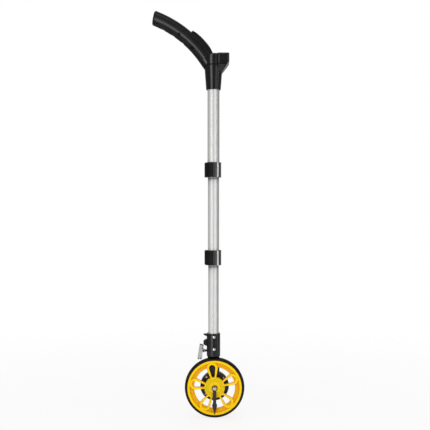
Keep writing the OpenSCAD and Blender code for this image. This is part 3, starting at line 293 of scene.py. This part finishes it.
def cell_jacket():
    """A plain dark film."""
    made = Finish("cell_film", Coat_Weight=0.3, Coat_Roughness=0.15)
    stops = [(0.3, (0.03, 0.05, 0.09)), (0.7, (0.05, 0.08, 0.14))]
    made.colour(made.ramp(made.noise(30, detail=2), stops))
    return made.rough(made.noise(150), 0.22, 0.35)


BLACK = ((0.0045, 0.004, 0.0042), (0.0075, 0.007, 0.0072))
BLACK_WORN = (0.012, 0.0115, 0.011)
ALONG = (1, 1, 0.1)
finishes = {
    "yellow_plastic": yellow_plastic(),
    "tyre_rubber": tyre_rubber(),
    "bearing_steel": metal("bearing_steel_bright", (0.55, 0.56, 0.57), (0.66, 0.67, 0.68), (0.2, 0.32)),
    "zinc_steel": metal("zinc_plate", (0.56, 0.57, 0.58), (0.68, 0.69, 0.69), (0.26, 0.42)),
    "cap_nut_steel": metal("cap_nut_bright", (0.66, 0.67, 0.66), (0.78, 0.79, 0.78), (0.14, 0.26)),
    "magnet_plastic": moulded("magnet_bonded", (0.018, 0.016, 0.015), (0.03, 0.027, 0.025), (0.45, 0.6)),
    "pointer_plastic": moulded(
        "pointer_dark", (0.016, 0.012, 0.020), (0.024, 0.019, 0.030), (0.32, 0.46), worn=(0.05, 0.045, 0.06),
    ),
    "black_abs": moulded("abs_black", *BLACK, (0.24, 0.33), worn=BLACK_WORN, Specular_IOR_Level=0.5),
    "black_nylon": moulded(
        "nylon_charcoal", (0.036, 0.036, 0.037), (0.048, 0.048, 0.049), (0.16, 0.24), 1000, 0.000004,
    ),
    "rivet_aluminium": metal("rivet_bright", (0.72, 0.72, 0.71), (0.82, 0.82, 0.81), (0.28, 0.42)),
    "tube_aluminium": tube_metal(),
    "lever_steel": metal("lever_bright", (0.74, 0.74, 0.72), (0.84, 0.84, 0.82), (0.2, 0.34), ALONG),
    "pad_rubber": rubber("pad_black", (0.010, 0.010, 0.010), (0.020, 0.019, 0.018), (0.55, 0.7)),
    "spring_bronze": metal(
        "spring_bronze_dull", (0.24, 0.115, 0.045), (0.34, 0.17, 0.07), (0.34, 0.5), ALONG,
    ),
    "bush_plastic": moulded("bush_pale", (0.62, 0.61, 0.58), (0.70, 0.69, 0.66), (0.35, 0.5)),
    "bezel_plastic": moulded(
        "bezel_charcoal", (0.020, 0.020, 0.021), (0.03, 0.03, 0.032), (0.38, 0.5), 1800,
        worn=(0.055, 0.055, 0.057),
    ),
    "lens_plastic": lens_plastic(),
    "lcd_glass": moulded("lcd_grey", (0.30, 0.33, 0.27), (0.34, 0.37, 0.31), (0.18, 0.28), 3000, 0.000004),
    "strip_rubber": moulded("strip_zebra", (0.32, 0.16, 0.17), (0.42, 0.24, 0.24), (0.5, 0.6)),
    "board_laminate": board_laminate(),
    "switch_plastic": moulded("switch_dark", (0.02, 0.02, 0.02), (0.035, 0.035, 0.035), (0.4, 0.5)),
    "button_red": moulded("button_red_soft", (0.42, 0.02, 0.016), (0.50, 0.03, 0.022), (0.42, 0.55)),
    "button_grey": moulded("button_grey_soft", (0.14, 0.14, 0.15), (0.18, 0.18, 0.19), (0.42, 0.55)),
    "grip_rubber": rubber("grip_soft", (0.008, 0.0068, 0.006), (0.014, 0.012, 0.0105), (0.42, 0.56), 800),
    "tray_plastic": moulded("tray_dark", (0.03, 0.03, 0.03), (0.045, 0.045, 0.045), (0.42, 0.55)),
    "cell_jacket": cell_jacket(),
    "contact_brass": metal("contact_plated", (0.60, 0.55, 0.42), (0.72, 0.67, 0.54), (0.25, 0.4)),
}
head_finish = moulded(
    "head_gloss_black", *BLACK, (0.18, 0.25), 1700, 0.000003, BLACK_WORN, Specular_IOR_Level=0.5,
)
lever_finish = moulded(
    "lever_dull_black", *BLACK, (0.46, 0.58), 1000, 0.000006, BLACK_WORN, Specular_IOR_Level=0.15,
)
# A near-black matt finish for the strip in the head's seam: painted shade for the seam line.
seam_shade_finish = moulded(
    "seam_shade_black", (0.003, 0.003, 0.003), (0.005, 0.005, 0.005), (0.7, 0.85), Specular_IOR_Level=0.05,
)
dark_screw = metal("screw_black_oxide", (0.016, 0.016, 0.017), (0.028, 0.028, 0.03), (0.36, 0.5))
segment_ink = moulded("lcd_segments", (0.018, 0.02, 0.022), (0.026, 0.028, 0.03), (0.3, 0.4), 3000, 0.000003)
mark_ink = moulded("mark_pale", (0.62, 0.62, 0.60), (0.70, 0.70, 0.68), (0.4, 0.5), 3000, 0.000003)
chosen = {
    "head_cup": head_finish, "head_case": head_finish, "fork_arm": head_finish,
    "lower_clamp_lever": lever_finish, "upper_clamp_lever": lever_finish,
    "grip_screws": dark_screw, "case_screws": dark_screw, "brake_pin": dark_screw,
}


def finish_of(node):
    return chosen.get(node, finishes[slot_of[node]])


for name, obj in nodes.items():
    obj.material_slots[0].material = finish_of(name).material


# Pieces


def piece(name, bm, body, slot, finish, *stands_for):
    """A new piece from a bmesh: smooth, with crisp edges, on its body and in place of its CAD nodes."""
    crease = math.radians(38)
    mesh = bpy.data.meshes.new(name)
    bm.to_mesh(mesh)
    bm.free()
    mesh.polygons.foreach_set("use_smooth", [True] * len(mesh.polygons))
    mesh.set_sharp_from_angle(angle=crease)
    mesh.materials.append(finish.material)
    obj = bpy.data.objects.new(name, mesh)
    bpy.context.scene.collection.objects.link(obj)
    normals = obj.modifiers.new("even_shading", "WEIGHTED_NORMAL")
    normals.keep_sharp = True
    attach(obj, body)
    if stands_for:
        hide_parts(*stands_for)


def solid_copy(node):
    """A CAD node's surface as a bmesh, with the triangles of its flat faces joined."""
    weld, sliver, flat = 1e-6, 1e-7, math.radians(0.05)
    source = nodes[node].data
    plain = bpy.data.meshes.new(node + "_plain")
    plain.from_pydata([v.co for v in source.vertices], [], [tuple(f.vertices) for f in source.polygons])
    bm = bmesh.new()
    bm.from_mesh(plain)
    bpy.data.meshes.remove(plain)
    bmesh.ops.remove_doubles(bm, verts=bm.verts, dist=weld)
    bmesh.ops.dissolve_degenerate(bm, dist=sliver, edges=bm.edges)
    bmesh.ops.dissolve_limit(bm, angle_limit=flat, verts=bm.verts, edges=bm.edges)
    bmesh.ops.recalc_face_normals(bm, faces=bm.faces)
    bm.normal_update()
    return bm


def chains(edges):
    """The edges in groups that share corners, in the order in which they are given."""
    left, groups = dict.fromkeys(edges), []
    for first in edges:
        if first not in left:
            continue
        del left[first]
        group, front = [], [first]
        while front:
            edge = front.pop()
            group.append(edge)
            near = dict.fromkeys(e for v in edge.verts for e in v.link_edges if e in left)
            front += near
            for e in near:
                del left[e]
        groups.append(group)
    return groups


def bevel(bm, edges, width, segments):
    """Rounds edges of a bmesh by a width in metres."""
    bmesh.ops.bevel(
        bm, geom=edges, offset=width, offset_type="OFFSET", segments=segments, profile=0.5,
        affect="EDGES", clamp_overlap=False, loop_slide=True,
    )


def skin(bm):
    return sum(f.calc_area() for f in bm.faces)


def round_edges(bm, width, segments=2, spare=(0, 0)):
    """Rounds each run of sharp outer edges, by half the width or not at all where it tears the surface.

    Edges with a corner between the two spare heights stay as they are.
    """
    sharp_turn, stray, growth = math.radians(32), 0.8, 1.0005
    low, high = (z * MM for z in spare)
    surface = BVHTree.FromBMesh(bm)
    sharp = [e for e in bm.edges if e.is_manifold and e.is_convex and e.calc_face_angle() > sharp_turn]
    sharp = [e for e in sharp if not any(low < v.co.z < high for v in e.verts)]
    for group in chains(sharp):
        bm.edges.index_update()
        bm.edges.ensure_lookup_table()
        for offset in (width * MM, 0.5 * width * MM):
            trial = bm.copy()
            trial.edges.ensure_lookup_table()
            bevel(trial, [trial.edges[e.index] for e in group], offset, segments)
            bmesh.ops.triangulate(trial, faces=trial.faces)
            points = [v.co for v in trial.verts] + [f.calc_center_median() for f in trial.faces]
            reach = max(surface.find_nearest(p)[3] for p in points)
            held = skin(trial) < growth * skin(bm) and reach < stray * offset
            trial.free()
            if held:
                bevel(bm, group, offset, segments)
                break
    return bm


def rounded(node, width, segments=2, cutters=(), spare=(0, 0)):
    """A copy of a CAD node, less the cutters' shapes, with its outer edges rounded, in the node's place."""
    bm = solid_copy(node)
    for cutter in cutters:
        bm = carved(bm, cutter)
    bm = round_edges(bm, width, segments, spare=spare)
    piece(node + "_round", bm, body_of[node], slot_of[node], finish_of(node), node)


def ring_shell(rings):
    """A closed surface through rings of equally many points, capped at both ends."""
    bm = bmesh.new()
    rows = [[bm.verts.new(p) for p in ring] for ring in rings]
    count = len(rows[0])
    for a, b in zip(rows, rows[1:]):
        for k in range(count):
            bm.faces.new((a[k], a[(k + 1) % count], b[(k + 1) % count], b[k]))
    bm.faces.new(rows[0])
    bm.faces.new(reversed(rows[-1]))
    bmesh.ops.recalc_face_normals(bm, faces=bm.faces)
    return bm


def box_at(bm, matrix, size):
    """A small box about a place, added to a bmesh."""
    bmesh.ops.create_cube(bm, size=1.0, matrix=matrix @ Matrix.Diagonal((*size, 1)))


def join(bm, other):
    """Adds another bmesh's surface to a bmesh."""
    mesh = bpy.data.meshes.new("joined")
    other.to_mesh(mesh)
    other.free()
    bm.from_mesh(mesh)
    bpy.data.meshes.remove(mesh)


def carved(bm, cutter):
    """A bmesh less the cutter's shape."""
    pair = []
    for shape in (bm, cutter):
        mesh = bpy.data.meshes.new("carving")
        shape.to_mesh(mesh)
        shape.free()
        pair.append(bpy.data.objects.new("carving", mesh))
        bpy.context.scene.collection.objects.link(pair[-1])
    cut = pair[0].modifiers.new("carve", "BOOLEAN")
    cut.operation, cut.solver, cut.object = "DIFFERENCE", "EXACT", pair[1]
    with bpy.context.temp_override(object=pair[0], active_object=pair[0], selected_objects=pair[:1]):
        bpy.ops.object.modifier_apply(modifier="carve")
    result = bmesh.new()
    result.from_mesh(pair[0].data)
    for obj in pair:
        mesh = obj.data
        bpy.data.objects.remove(obj)
        bpy.data.meshes.remove(mesh)
    return result


def on_grip(s, rho, y):
    """A point of the grip: along its bend from the free end, out from the bend's centre, and across."""
    turn = math.radians(ROOT_TURN) + (GRIP_LEN - s) / BEND_R
    return Vector((BEND[0] + rho * math.cos(turn), y, BEND[1] + rho * math.sin(turn))) * MM


def soft_max(a, b, blend):
    """The larger of two numbers, with a smooth change from one to the other."""
    h = max(blend - abs(a - b), 0) / blend
    return max(a, b) + h * h * blend / 4


def ease(x, low, high):
    """A smooth step from 0 at low to 1 at high."""
    t = min(max((x - low) / (high - low), 0), 1)
    return t * t * (3 - 2 * t)


def finger_grip():
    """The soft insert: finger waves below, a scalloped ledge above and rounded ends."""
    start, end, tip_round, root_round, thin = 6.8, 177.4, 1.2, 1.0, 0.2
    pitch, first, low, scoop, waves_fade, soft = 33.0, 36.0, 276.9, 1.8, (106, 128), 0.8
    ledge, scallop, lift, lift_span, drop, drop_end = 286.3, 1.3, 1.5, (90, 116), 4.6, 27
    shell_r, shell_mid, lip = 17.0, 296.5, 0.7
    fine, at_tip, at_root, count, around = 0.25, 12, 4, 160, 44
    screws, screw_y, bore_r, bore_len = ((82.0, 288.6), (134.5, 285.5)), -16.0, 4.4, 20
    between = end - start - (at_tip + at_root) * fine
    stations = [start + fine * k for k in range(at_tip)]
    stations += [start + at_tip * fine + between * k / count for k in range(count + 1)]
    stations += [end - fine * k for k in range(at_root - 1, -1, -1)]
    rings = []
    for s in stations:
        wave = math.cos(2 * math.pi * (s - first) / pitch)
        fade = 1 - ease(s, *waves_fade)
        edge = ledge + scallop * wave * fade
        edge += lift * ease(s, *lift_span) - drop * (1 - ease(s, start, drop_end))
        floor = low + scoop * fade * max(wave, 0) ** 1.5
        near_end = min((s - start) / tip_round, (end - s) / root_round, 1)
        thick = thin + (1 - thin) * math.sqrt(1 - (1 - near_end) ** 2)
        reach = math.acos((INSERT_MID - edge + lip) / INSERT_R)
        seat = math.acos((shell_mid - edge) / shell_r)
        outer = []
        for k in range(around + 1):
            turn = reach * (2 * k / around - 1)
            rho = soft_max(INSERT_MID - INSERT_R * math.cos(turn), floor, soft)
            outer.append((rho, INSERT_R * math.sin(turn)))
        side = outer[-1][1]
        bend = [(edge - 0.25 * lip, side + 0.02 * lip), (edge, side - 0.5 * lip)]
        outer = [(r, -y) for r, y in reversed(bend)] + outer + bend
        inner = []
        for k in range(len(outer)):
            turn = seat * (2 * k / (len(outer) - 1) - 1)
            inner.append((shell_mid - shell_r * math.cos(turn), shell_r * math.sin(turn)))
        top = [(i[0] + (o[0] - i[0]) * thick, i[1] + (o[1] - i[1]) * thick) for i, o in zip(inner, outer)]
        rings.append([on_grip(s, *p) for p in top] + [on_grip(s, *p) for p in reversed(inner)])
    cutter = bmesh.new()
    for s, rho in screws:
        place = Matrix.Translation(on_grip(s, rho, screw_y)) @ Matrix.Rotation(math.pi / 2, 4, "X")
        bmesh.ops.create_cone(
            cutter, cap_ends=True, segments=40, radius1=bore_r * MM, radius2=bore_r * MM, depth=bore_len * MM,
            matrix=place,
        )
    bm = carved(ring_shell(rings), cutter)
    piece("finger_grip_soft", bm, "handle", "grip_rubber", finish_of("finger_grip"), "finger_grip")


def end_cap():
    """The grip's closed end: the shells' outline carried on to a leaning plane and rounded over."""
    node, top_mid, top_r, top_rho, lean = "grip_end_cap", 299.0, 17.0, 316.0, math.radians(10)
    seat, thick, over, steps, around, solves = 0.05, 5.0, 4.9, 10, 36, 3
    levels = [(seat, 0.0)]
    levels += [
        (thick - over + over * math.sin(a), over * (1 - math.cos(a)))
        for a in (math.pi / 2 * k / steps for k in range(steps + 1))
    ]
    rings = []
    for depth, inset in levels:
        ring = []
        for k in range(2 * around):
            turn = math.pi * k / around
            up = math.cos(turn)
            mid, r = (top_mid, top_r) if up >= 0 else (INSERT_MID, INSERT_R)
            r -= inset * (0.7 + 0.3 * up)
            rho, y = mid + r * up, r * math.sin(turn)
            bend = 0.0
            for _ in range(solves):
                away = (top_rho - rho * math.cos(bend)) * math.sin(lean) - depth
                bend = math.asin(away / (rho * math.cos(lean)))
            ring.append(on_grip(bend * BEND_R, rho, y))
        rings.append(ring)
    piece("grip_end_cap_soft", ring_shell(rings), "handle", slot_of[node], finish_of(node), node)


def band(stops, out, low, high):
    """A square band from a groove's floor out, along stops of a middle, a way and the wall's radius."""
    rings = []
    for mid, way, wall in stops:
        corners = ((wall - SEAM_SUNK, low), (wall + out, low), (wall + out, high), (wall - SEAM_SUNK, high))
        rings.append([(mid + way * r + Vector((0, 0, z))) * MM for r, z in corners])
    return ring_shell(rings)


def plan_way(degrees):
    """The level direction at a turn from +X."""
    turn = math.radians(degrees)
    return Vector((math.cos(turn), math.sin(turn), 0))


def neck_stops(side):
    """Stops at the foot of the neck on one side of the pole, as far as the display pod."""
    first, last, count = 67, 136, 36
    turns = [side * (first + (last - first) * k / count) for k in range(count + 1)]
    return [(Vector((POLE_X, 0, 0)), plan_way(turn), NECK_R) for turn in turns]


def pod_stops(side):
    """Stops at the foot of the display pod on one side, from the neck round a corner to its slanted front."""
    x0, x1, half, corner, steps = 7.0, 33.0, 29.0, 6.0, 8
    turns = [side * (180 - 90 * k / steps) for k in range(steps + 1)]
    y = side * (half - corner)
    stops = [(Vector((x0 + corner, y, 0)), plan_way(turn), corner) for turn in turns]
    return stops + [(Vector((x1, y, 0)), plan_way(turns[-1]), corner)]


def seam_grooves():
    """The grooves round the foot of the head."""
    past = 2.5
    return [band(stops(side), past, *SEAM) for stops in (neck_stops, pod_stops) for side in (-1, 1)]


def head_seam_shade():
    """A dull black strip in the grooves at the foot of the head, a dark piece that stands in for the seam's
    shade.
    """
    below, slack, joint = 0.45, 0.05, 937.25
    bm = bmesh.new()
    for stops, foot in ((neck_stops, SEAM[0] + slack), (pod_stops, joint)):
        for side in (-1, 1):
            join(bm, band(stops(side), -below, foot, SEAM[1] - slack))
    piece("head_seam_shade", bm, "handle", "grip_rubber", seam_shade_finish)


def trim_place(node):
    """The foot of a clamp's strip, right of the front, with X pointing out, and the strip's height."""
    low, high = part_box(node)
    turn = Matrix.Rotation(math.radians(TRIM_TURN - 90), 4, "Z")
    return Matrix.Translation(Vector((POLE_X * MM, 0, low.z))) @ turn, high.z - low.z


def trim_groove(node):
    """The groove for a clamp's strip."""
    play, past = 0.3, 1
    place, tall = trim_place(node)
    groove = bmesh.new()
    middle = Matrix.Translation(Vector((CLAMP_R * MM, 0, tall / 2)))
    box_at(groove, place @ middle, (2 * TRIM_SUNK * MM, (TRIM_W + play) * MM, tall + 2 * past * MM))
    return groove


def clamp_trim(name, node):
    """A bright upright strip let into a clamp body."""
    proud, seat_gap, end_gap, over, steps = 0.25, 0.1, 0.4 * MM, 0.25, 8
    place, tall = trim_place(node)
    seat = CLAMP_R - TRIM_SUNK + seat_gap
    half = math.asin(TRIM_W / 2 / CLAMP_R)
    turns = [half * (2 * k / steps - 1) for k in range(steps + 1)]
    outline = [((CLAMP_R + proud) * math.cos(a), (CLAMP_R + proud) * math.sin(a)) for a in turns]
    outline += [(seat, TRIM_W / 2), (seat, -TRIM_W / 2)]
    rings = [[place @ Vector((x * MM, y * MM, z)) for x, y in outline] for z in (end_gap, tall - end_gap)]
    bm = round_edges(ring_shell(rings), over)
    piece(name, bm, body_of[node], "rivet_aluminium", finishes["rivet_aluminium"])


def prism(bm, outline, half):
    """Adds an outline seen from the front, in millimetres, carried across by half each way, to a bmesh."""
    join(bm, ring_shell([[Vector((x, y, z)) * MM for x, z in outline] for y in (-half, half)]))


def lug_corners():
    """The corners taken off the socket's lugs, which leave a beak above and a slanted stop below."""
    half = 25
    bm = bmesh.new()
    prism(bm, [(-31, 216), (-31, 221.6), (-30, 221.6), (-24.5, 217.2), (-24.5, 216)], half)
    prism(bm, [(-31, 208.6), (-31, 203.0), (-30.2, 203.6), (-24.5, 207.8), (-24.5, 208.6)], half)
    prism(bm, [(-31, 190), (-31, 195.6), (-30.2, 195.0), (-22.6, 190.8), (-22.6, 190)], half)
    return bm


def on_brake(outline):
    """An outline given from the brake's pivot along its lean, in the shared frame."""
    c, s = math.cos(math.radians(BRAKE_LEAN)), math.sin(math.radians(BRAKE_LEAN))
    return [(PIVOT[0] + (x * c + z * s), PIVOT[1] + (z * c - x * s)) for x, z in outline]


def lever_window():
    """The part of the lever's cheeks cut back above the pivot, where the spring shows."""
    half = 12
    bm = bmesh.new()
    prism(bm, on_brake([(-5.4, 4.6), (3, 4.6), (3, 17), (-4.6, 17)]), half)
    return bm


def leaf_spring():
    """The bronze leaf: up from the pad's top, folded over and back down as far as the lug."""
    thick, foot, inner, outer, top, heel, tip = 1.3, -12.9, -5.2, -2.0, 14.2, -9.0, 5.0
    half, corner, over, base = 5, 1, 0.2, 0.8
    outline = [
        (heel, foot), (inner, foot), (inner + thick, foot + 2),
        (inner + thick, top - thick), (outer - thick, top - thick), (outer - thick, tip),
        (outer, tip), (outer, top - corner), (outer - corner, top),
        (inner + corner, top), (inner, top - corner),
        (inner, foot + 2.6), (inner - 0.5, foot + base), (heel, foot + base),
    ]
    bm = bmesh.new()
    prism(bm, on_brake(outline), half)
    round_edges(bm, over)
    piece("brake_spring_leaf", bm, "brake", "spring_bronze", finishes["spring_bronze"], "brake_spring")


def islands(node):
    """The lowest and highest corner of each separate solid of a CAD node."""
    bm = solid_copy(node)
    boxes = []
    for group in chains(list(bm.edges)):
        found = [v.co for e in group for v in e.verts]
        boxes.append([Vector(pick(p[k] for p in found) for k in range(3)) for pick in (min, max)])
    bm.free()
    return boxes


def cross_screws(node, axis, end, arm):
    """A copy of a CAD node of screws with a cross recess cut in each head."""
    width, depth, second_share, over = 0.7, 0.8, 0.96, 0.15
    across, cutters = [k for k in range(3) if k != axis], []
    for first, second, deep in ((*across, depth), (*reversed(across), depth * second_share)):
        size = [0, 0, 0]
        size[axis], size[first], size[second] = 2 * deep * MM, arm * MM, width * MM
        cutter = bmesh.new()
        for box in islands(node):
            mid = (box[0] + box[1]) / 2
            mid[axis] = box[end][axis]
            box_at(cutter, Matrix.Translation(mid), size)
        cutters.append(cutter)
    rounded(node, over, cutters=cutters)


def lcd_digits():
    """Five plain seven-segment zeros and a point on the display panel, read from the handle."""
    count, pitch, first_y, base_x, lean = 5, 7.3, 17.6, 17.62, 0.1
    high, wide, thick, gap, top, tall = 10.5, 5.2, 1.05, 0.12, 963.47, 0.05
    point, point_size = (17.7, -3.2), 1.2
    bars = (
        ((0, wide), (high, high)), ((wide, wide), (high / 2, high)), ((wide, wide), (0, high / 2)),
        ((0, wide), (0, 0)), ((0, 0), (0, high / 2)), ((0, 0), (high / 2, high)),
    )
    bm = bmesh.new()
    for place in range(count):
        left = first_y - pitch * place
        for (x0, x1), (y0, y1) in bars:
            ax, ay = (1, 0) if y0 == y1 else (0, 1)
            half, tip = ((x1 - x0) + (y1 - y0) - 2 * gap) / 2, thick / 2
            mx, my = (x0 + x1) / 2, (y0 + y1) / 2
            upper = [(-half, 0), (-half + tip, tip), (half - tip, tip)]
            shape = upper + [(half, 0), (half - tip, -tip), (-half + tip, -tip)]
            flat = [(mx + a * ax - b * ay, my + a * ay + b * ax) for a, b in shape]
            plan = [(base_x + v, left - u - lean * v) for u, v in flat]
            join(bm, ring_shell([[Vector((*p, z)) * MM for p in plan] for z in (top, top + tall)]))
    middle = Matrix.Translation(Vector((*point, top + tall / 2)) * MM)
    box_at(bm, middle, (point_size * MM, point_size * MM, tall * MM))
    piece("lcd_digits", bm, "handle", "lcd_glass", segment_ink)


def button_mark(node, mid_y, spans):
    """A small raised mark on a button: bars given as centre and size, in millimetres across its top."""
    lift, tall, over = 0.04, 0.2, 0.05
    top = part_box(node)[1].z
    bm = bmesh.new()
    for (x, y), (dx, dy) in spans:
        place = Vector((BUTTON_X + x, mid_y + y, lift)) * MM + Vector((0, 0, top))
        box_at(bm, Matrix.Translation(place), (dx * MM, dy * MM, tall * MM))
    bevel(bm, list(bm.edges), over * MM, 2)
    piece(node + "_mark", bm, body_of[node], "button_grey", mark_ink)


for node, width in {
    "wheel_rim": 0.9, "tyre": 1.2, "pointer": 0.35,
    "axle_nut": 0.35, "axle_rear_nut": 0.5, "axle_washer": 0.3,
    "fork_rivets": 0.5, "sensor_cover": 0.6, "brake_pad": 0.6, "brake_pin": 0.3,
    "lower_clamp_lever": 0.7, "upper_clamp_lever": 0.7,
    "lower_clamp_bolt": 0.3, "upper_clamp_bolt": 0.3, "lower_clamp_nut": 0.4, "upper_clamp_nut": 0.4,
    "display_bezel": 0.6, "display_lens": 0.3, "button_power": 0.9, "button_zero": 0.9, "button_unit": 0.9,
    "grip_shell_near": 0.4, "grip_shell_far": 0.4, "battery_door": 0.25,
}.items():
    rounded(node, width, FACETS)
for node, width in (("head_cup", 1.2), ("head_case", 0.8)):
    rounded(node, width, FACETS, seam_grooves(), (SEAM[0] - SEAM_MARGIN, SEAM[1] + SEAM_MARGIN))
head_seam_shade()
rounded("fork_arm", 0.8, FACETS, (lug_corners(),))
rounded("brake_lever", 0.35, FACETS, (lever_window(),))
leaf_spring()
for node in ("lower_clamp_body", "upper_clamp_body"):
    rounded(node, 0.5, FACETS, (trim_groove(node),))
    clamp_trim(node.replace("body", "trim"), node)
for node, axis, end, arm in (
    ("cover_screws", 1, 0, 3.0), ("case_screws", 2, 0, 2.4),
    ("grip_screws", 1, 0, 4.0), ("tube_screw", 1, 1, 3.6),
):
    cross_screws(node, axis, end, arm)
finger_grip()
end_cap()
lcd_digits()
button_mark("button_power", -10.0, [((0.2, 0), (2.6, 0.5))])
button_mark("button_zero", 0.0, [
    ((0, -1.0), (2.4, 0.45)), ((0, 1.0), (2.4, 0.45)), ((1.2, 0), (0.45, 2.4)), ((-1.2, 0), (0.45, 2.4)),
])
button_mark("button_unit", 10.0, [((0.7, 0), (0.45, 2.6)), ((-0.7, 0), (0.45, 2.6))])


# Stage, light and camera


def soft_floor():
    """A pale round floor that fades into the background at its rim."""
    radius, fade_from, fade_to, white_share = 2.2, 0.35, 1.6, 0.82
    mesh = bpy.data.meshes.new("floor")
    bm = bmesh.new()
    bmesh.ops.create_circle(bm, cap_ends=True, radius=radius, segments=96)
    bm.to_mesh(mesh)
    bm.free()
    floor = bpy.data.objects.new("floor", mesh)
    bpy.context.scene.collection.objects.link(floor)
    made = Finish("floor_pale", Roughness=0.85, Specular_IOR_Level=0.1)
    made.colour(made.ramp(made.noise(6, 3), [(0.3, (0.85, 0.85, 0.85)), (0.7, (0.88, 0.88, 0.88))]))
    centre = made.add("VectorMath")
    centre.operation = "LENGTH"
    made.link(made.place(), centre.inputs[0])
    fade = made.span(centre.outputs["Value"], fade_from, fade_to)
    clear = made.add("BsdfTransparent")
    mixed = made.add("MixShader")
    made.link(fade, mixed.inputs["Fac"])
    white = made.add("Emission", Strength=1.0)
    seen = made.add("MixShader")
    path = made.add("LightPath")
    share = made.span(path.outputs["Is Camera Ray"], 0.0, 1.0, 0.0, white_share)
    made.link(share, seen.inputs["Fac"])
    made.link(made.shader.outputs["BSDF"], seen.inputs[1])
    made.link(white.outputs["Emission"], seen.inputs[2])
    made.link(seen.outputs["Shader"], mixed.inputs[1])
    made.link(clear.outputs["BSDF"], mixed.inputs[2])
    made.link(mixed.outputs["Shader"], made.tree.nodes["Material Output"].inputs["Surface"])
    mesh.materials.append(made.material)


def studio_world():
    """White to the camera; in reflections a pale backdrop stands behind and the room's sides are dim."""
    world = bpy.data.worlds.new("studio")
    world.use_nodes = True
    tree = world.node_tree
    back = tree.nodes["Background"]
    path = tree.nodes.new("ShaderNodeLightPath")
    seen = tree.nodes.new("ShaderNodeMath")
    seen.operation = "MAXIMUM"
    tree.links.new(path.outputs["Is Camera Ray"], seen.inputs[0])
    tree.links.new(path.outputs["Is Transmission Ray"], seen.inputs[1])
    coords = tree.nodes.new("ShaderNodeTexCoord")
    axes = tree.nodes.new("ShaderNodeSeparateXYZ")
    tree.links.new(coords.outputs["Generated"], axes.inputs["Vector"])
    room = tree.nodes.new("ShaderNodeValToRGB")
    stops = room.color_ramp.elements
    stops[0].position, stops[0].color = 0.55, (0.15, 0.15, 0.152, 1)
    stops[1].position, stops[1].color = 1.0, (0.5, 0.5, 0.5, 1)
    tree.links.new(axes.outputs["Y"], room.inputs["Fac"])
    gloss = tree.nodes.new("ShaderNodeMix")
    gloss.data_type = "RGBA"
    gloss.inputs[6].default_value = (0.68, 0.68, 0.68, 1)
    tree.links.new(path.outputs["Is Glossy Ray"], gloss.inputs["Factor"])
    tree.links.new(room.outputs["Color"], gloss.inputs[7])
    final = tree.nodes.new("ShaderNodeMix")
    final.data_type = "RGBA"
    final.inputs[7].default_value = (1, 1, 1, 1)
    tree.links.new(seen.outputs["Value"], final.inputs["Factor"])
    tree.links.new(gloss.outputs[2], final.inputs[6])
    tree.links.new(final.outputs[2], back.inputs["Color"])
    back.inputs["Strength"].default_value = 1.0
    bpy.context.scene.world = world


def softbox(name, place, aim, width, height, power):
    """A large soft lamp that faces the aim point."""
    lamp = bpy.data.lights.new(name, "AREA")
    lamp.shape = "RECTANGLE"
    lamp.size, lamp.size_y, lamp.energy = width, height, power
    obj = bpy.data.objects.new(name, lamp)
    obj.location = place
    obj.rotation_mode = "QUATERNION"
    obj.rotation_quaternion = (Vector(aim) - Vector(place)).to_track_quat("-Z", "Y")
    bpy.context.scene.collection.objects.link(obj)


def photo_camera():
    """The photograph's view: level, square on to the wheel, from two metres."""
    camera = bpy.data.cameras.new("camera")
    camera.sensor_width = 36.0
    camera.lens = 62.73
    camera.clip_end = 50
    obj = bpy.data.objects.new("camera", camera)
    obj.location = (0.0011, -2.0, 0.5391)
    obj.rotation_euler = (math.pi / 2, 0, 0)
    bpy.context.scene.collection.objects.link(obj)
    bpy.context.scene.camera = obj


soft_floor()
studio_world()
softbox("box_left", (-1.05, -2.0, 0.62), (0, 0, 0.55), 1.0, 2.3, 20)
softbox("box_right", (1.5, -1.8, 0.8), (0, 0, 0.6), 1.0, 1.6, 5.5)
softbox("strip_right", (2.16, -0.79, 0.7), (0, 0, 0.6), 0.2, 2.2, 5)
softbox("box_top", (-0.25, -0.85, 2.5), (0, 0, 0.5), 1.4, 1.0, 3)
softbox("box_back", (0.3, 1.9, 2.4), (0, 0, 0.5), 2.4, 1.2, 10)
photo_camera()
bpy.context.scene.view_settings.view_transform = "Standard"
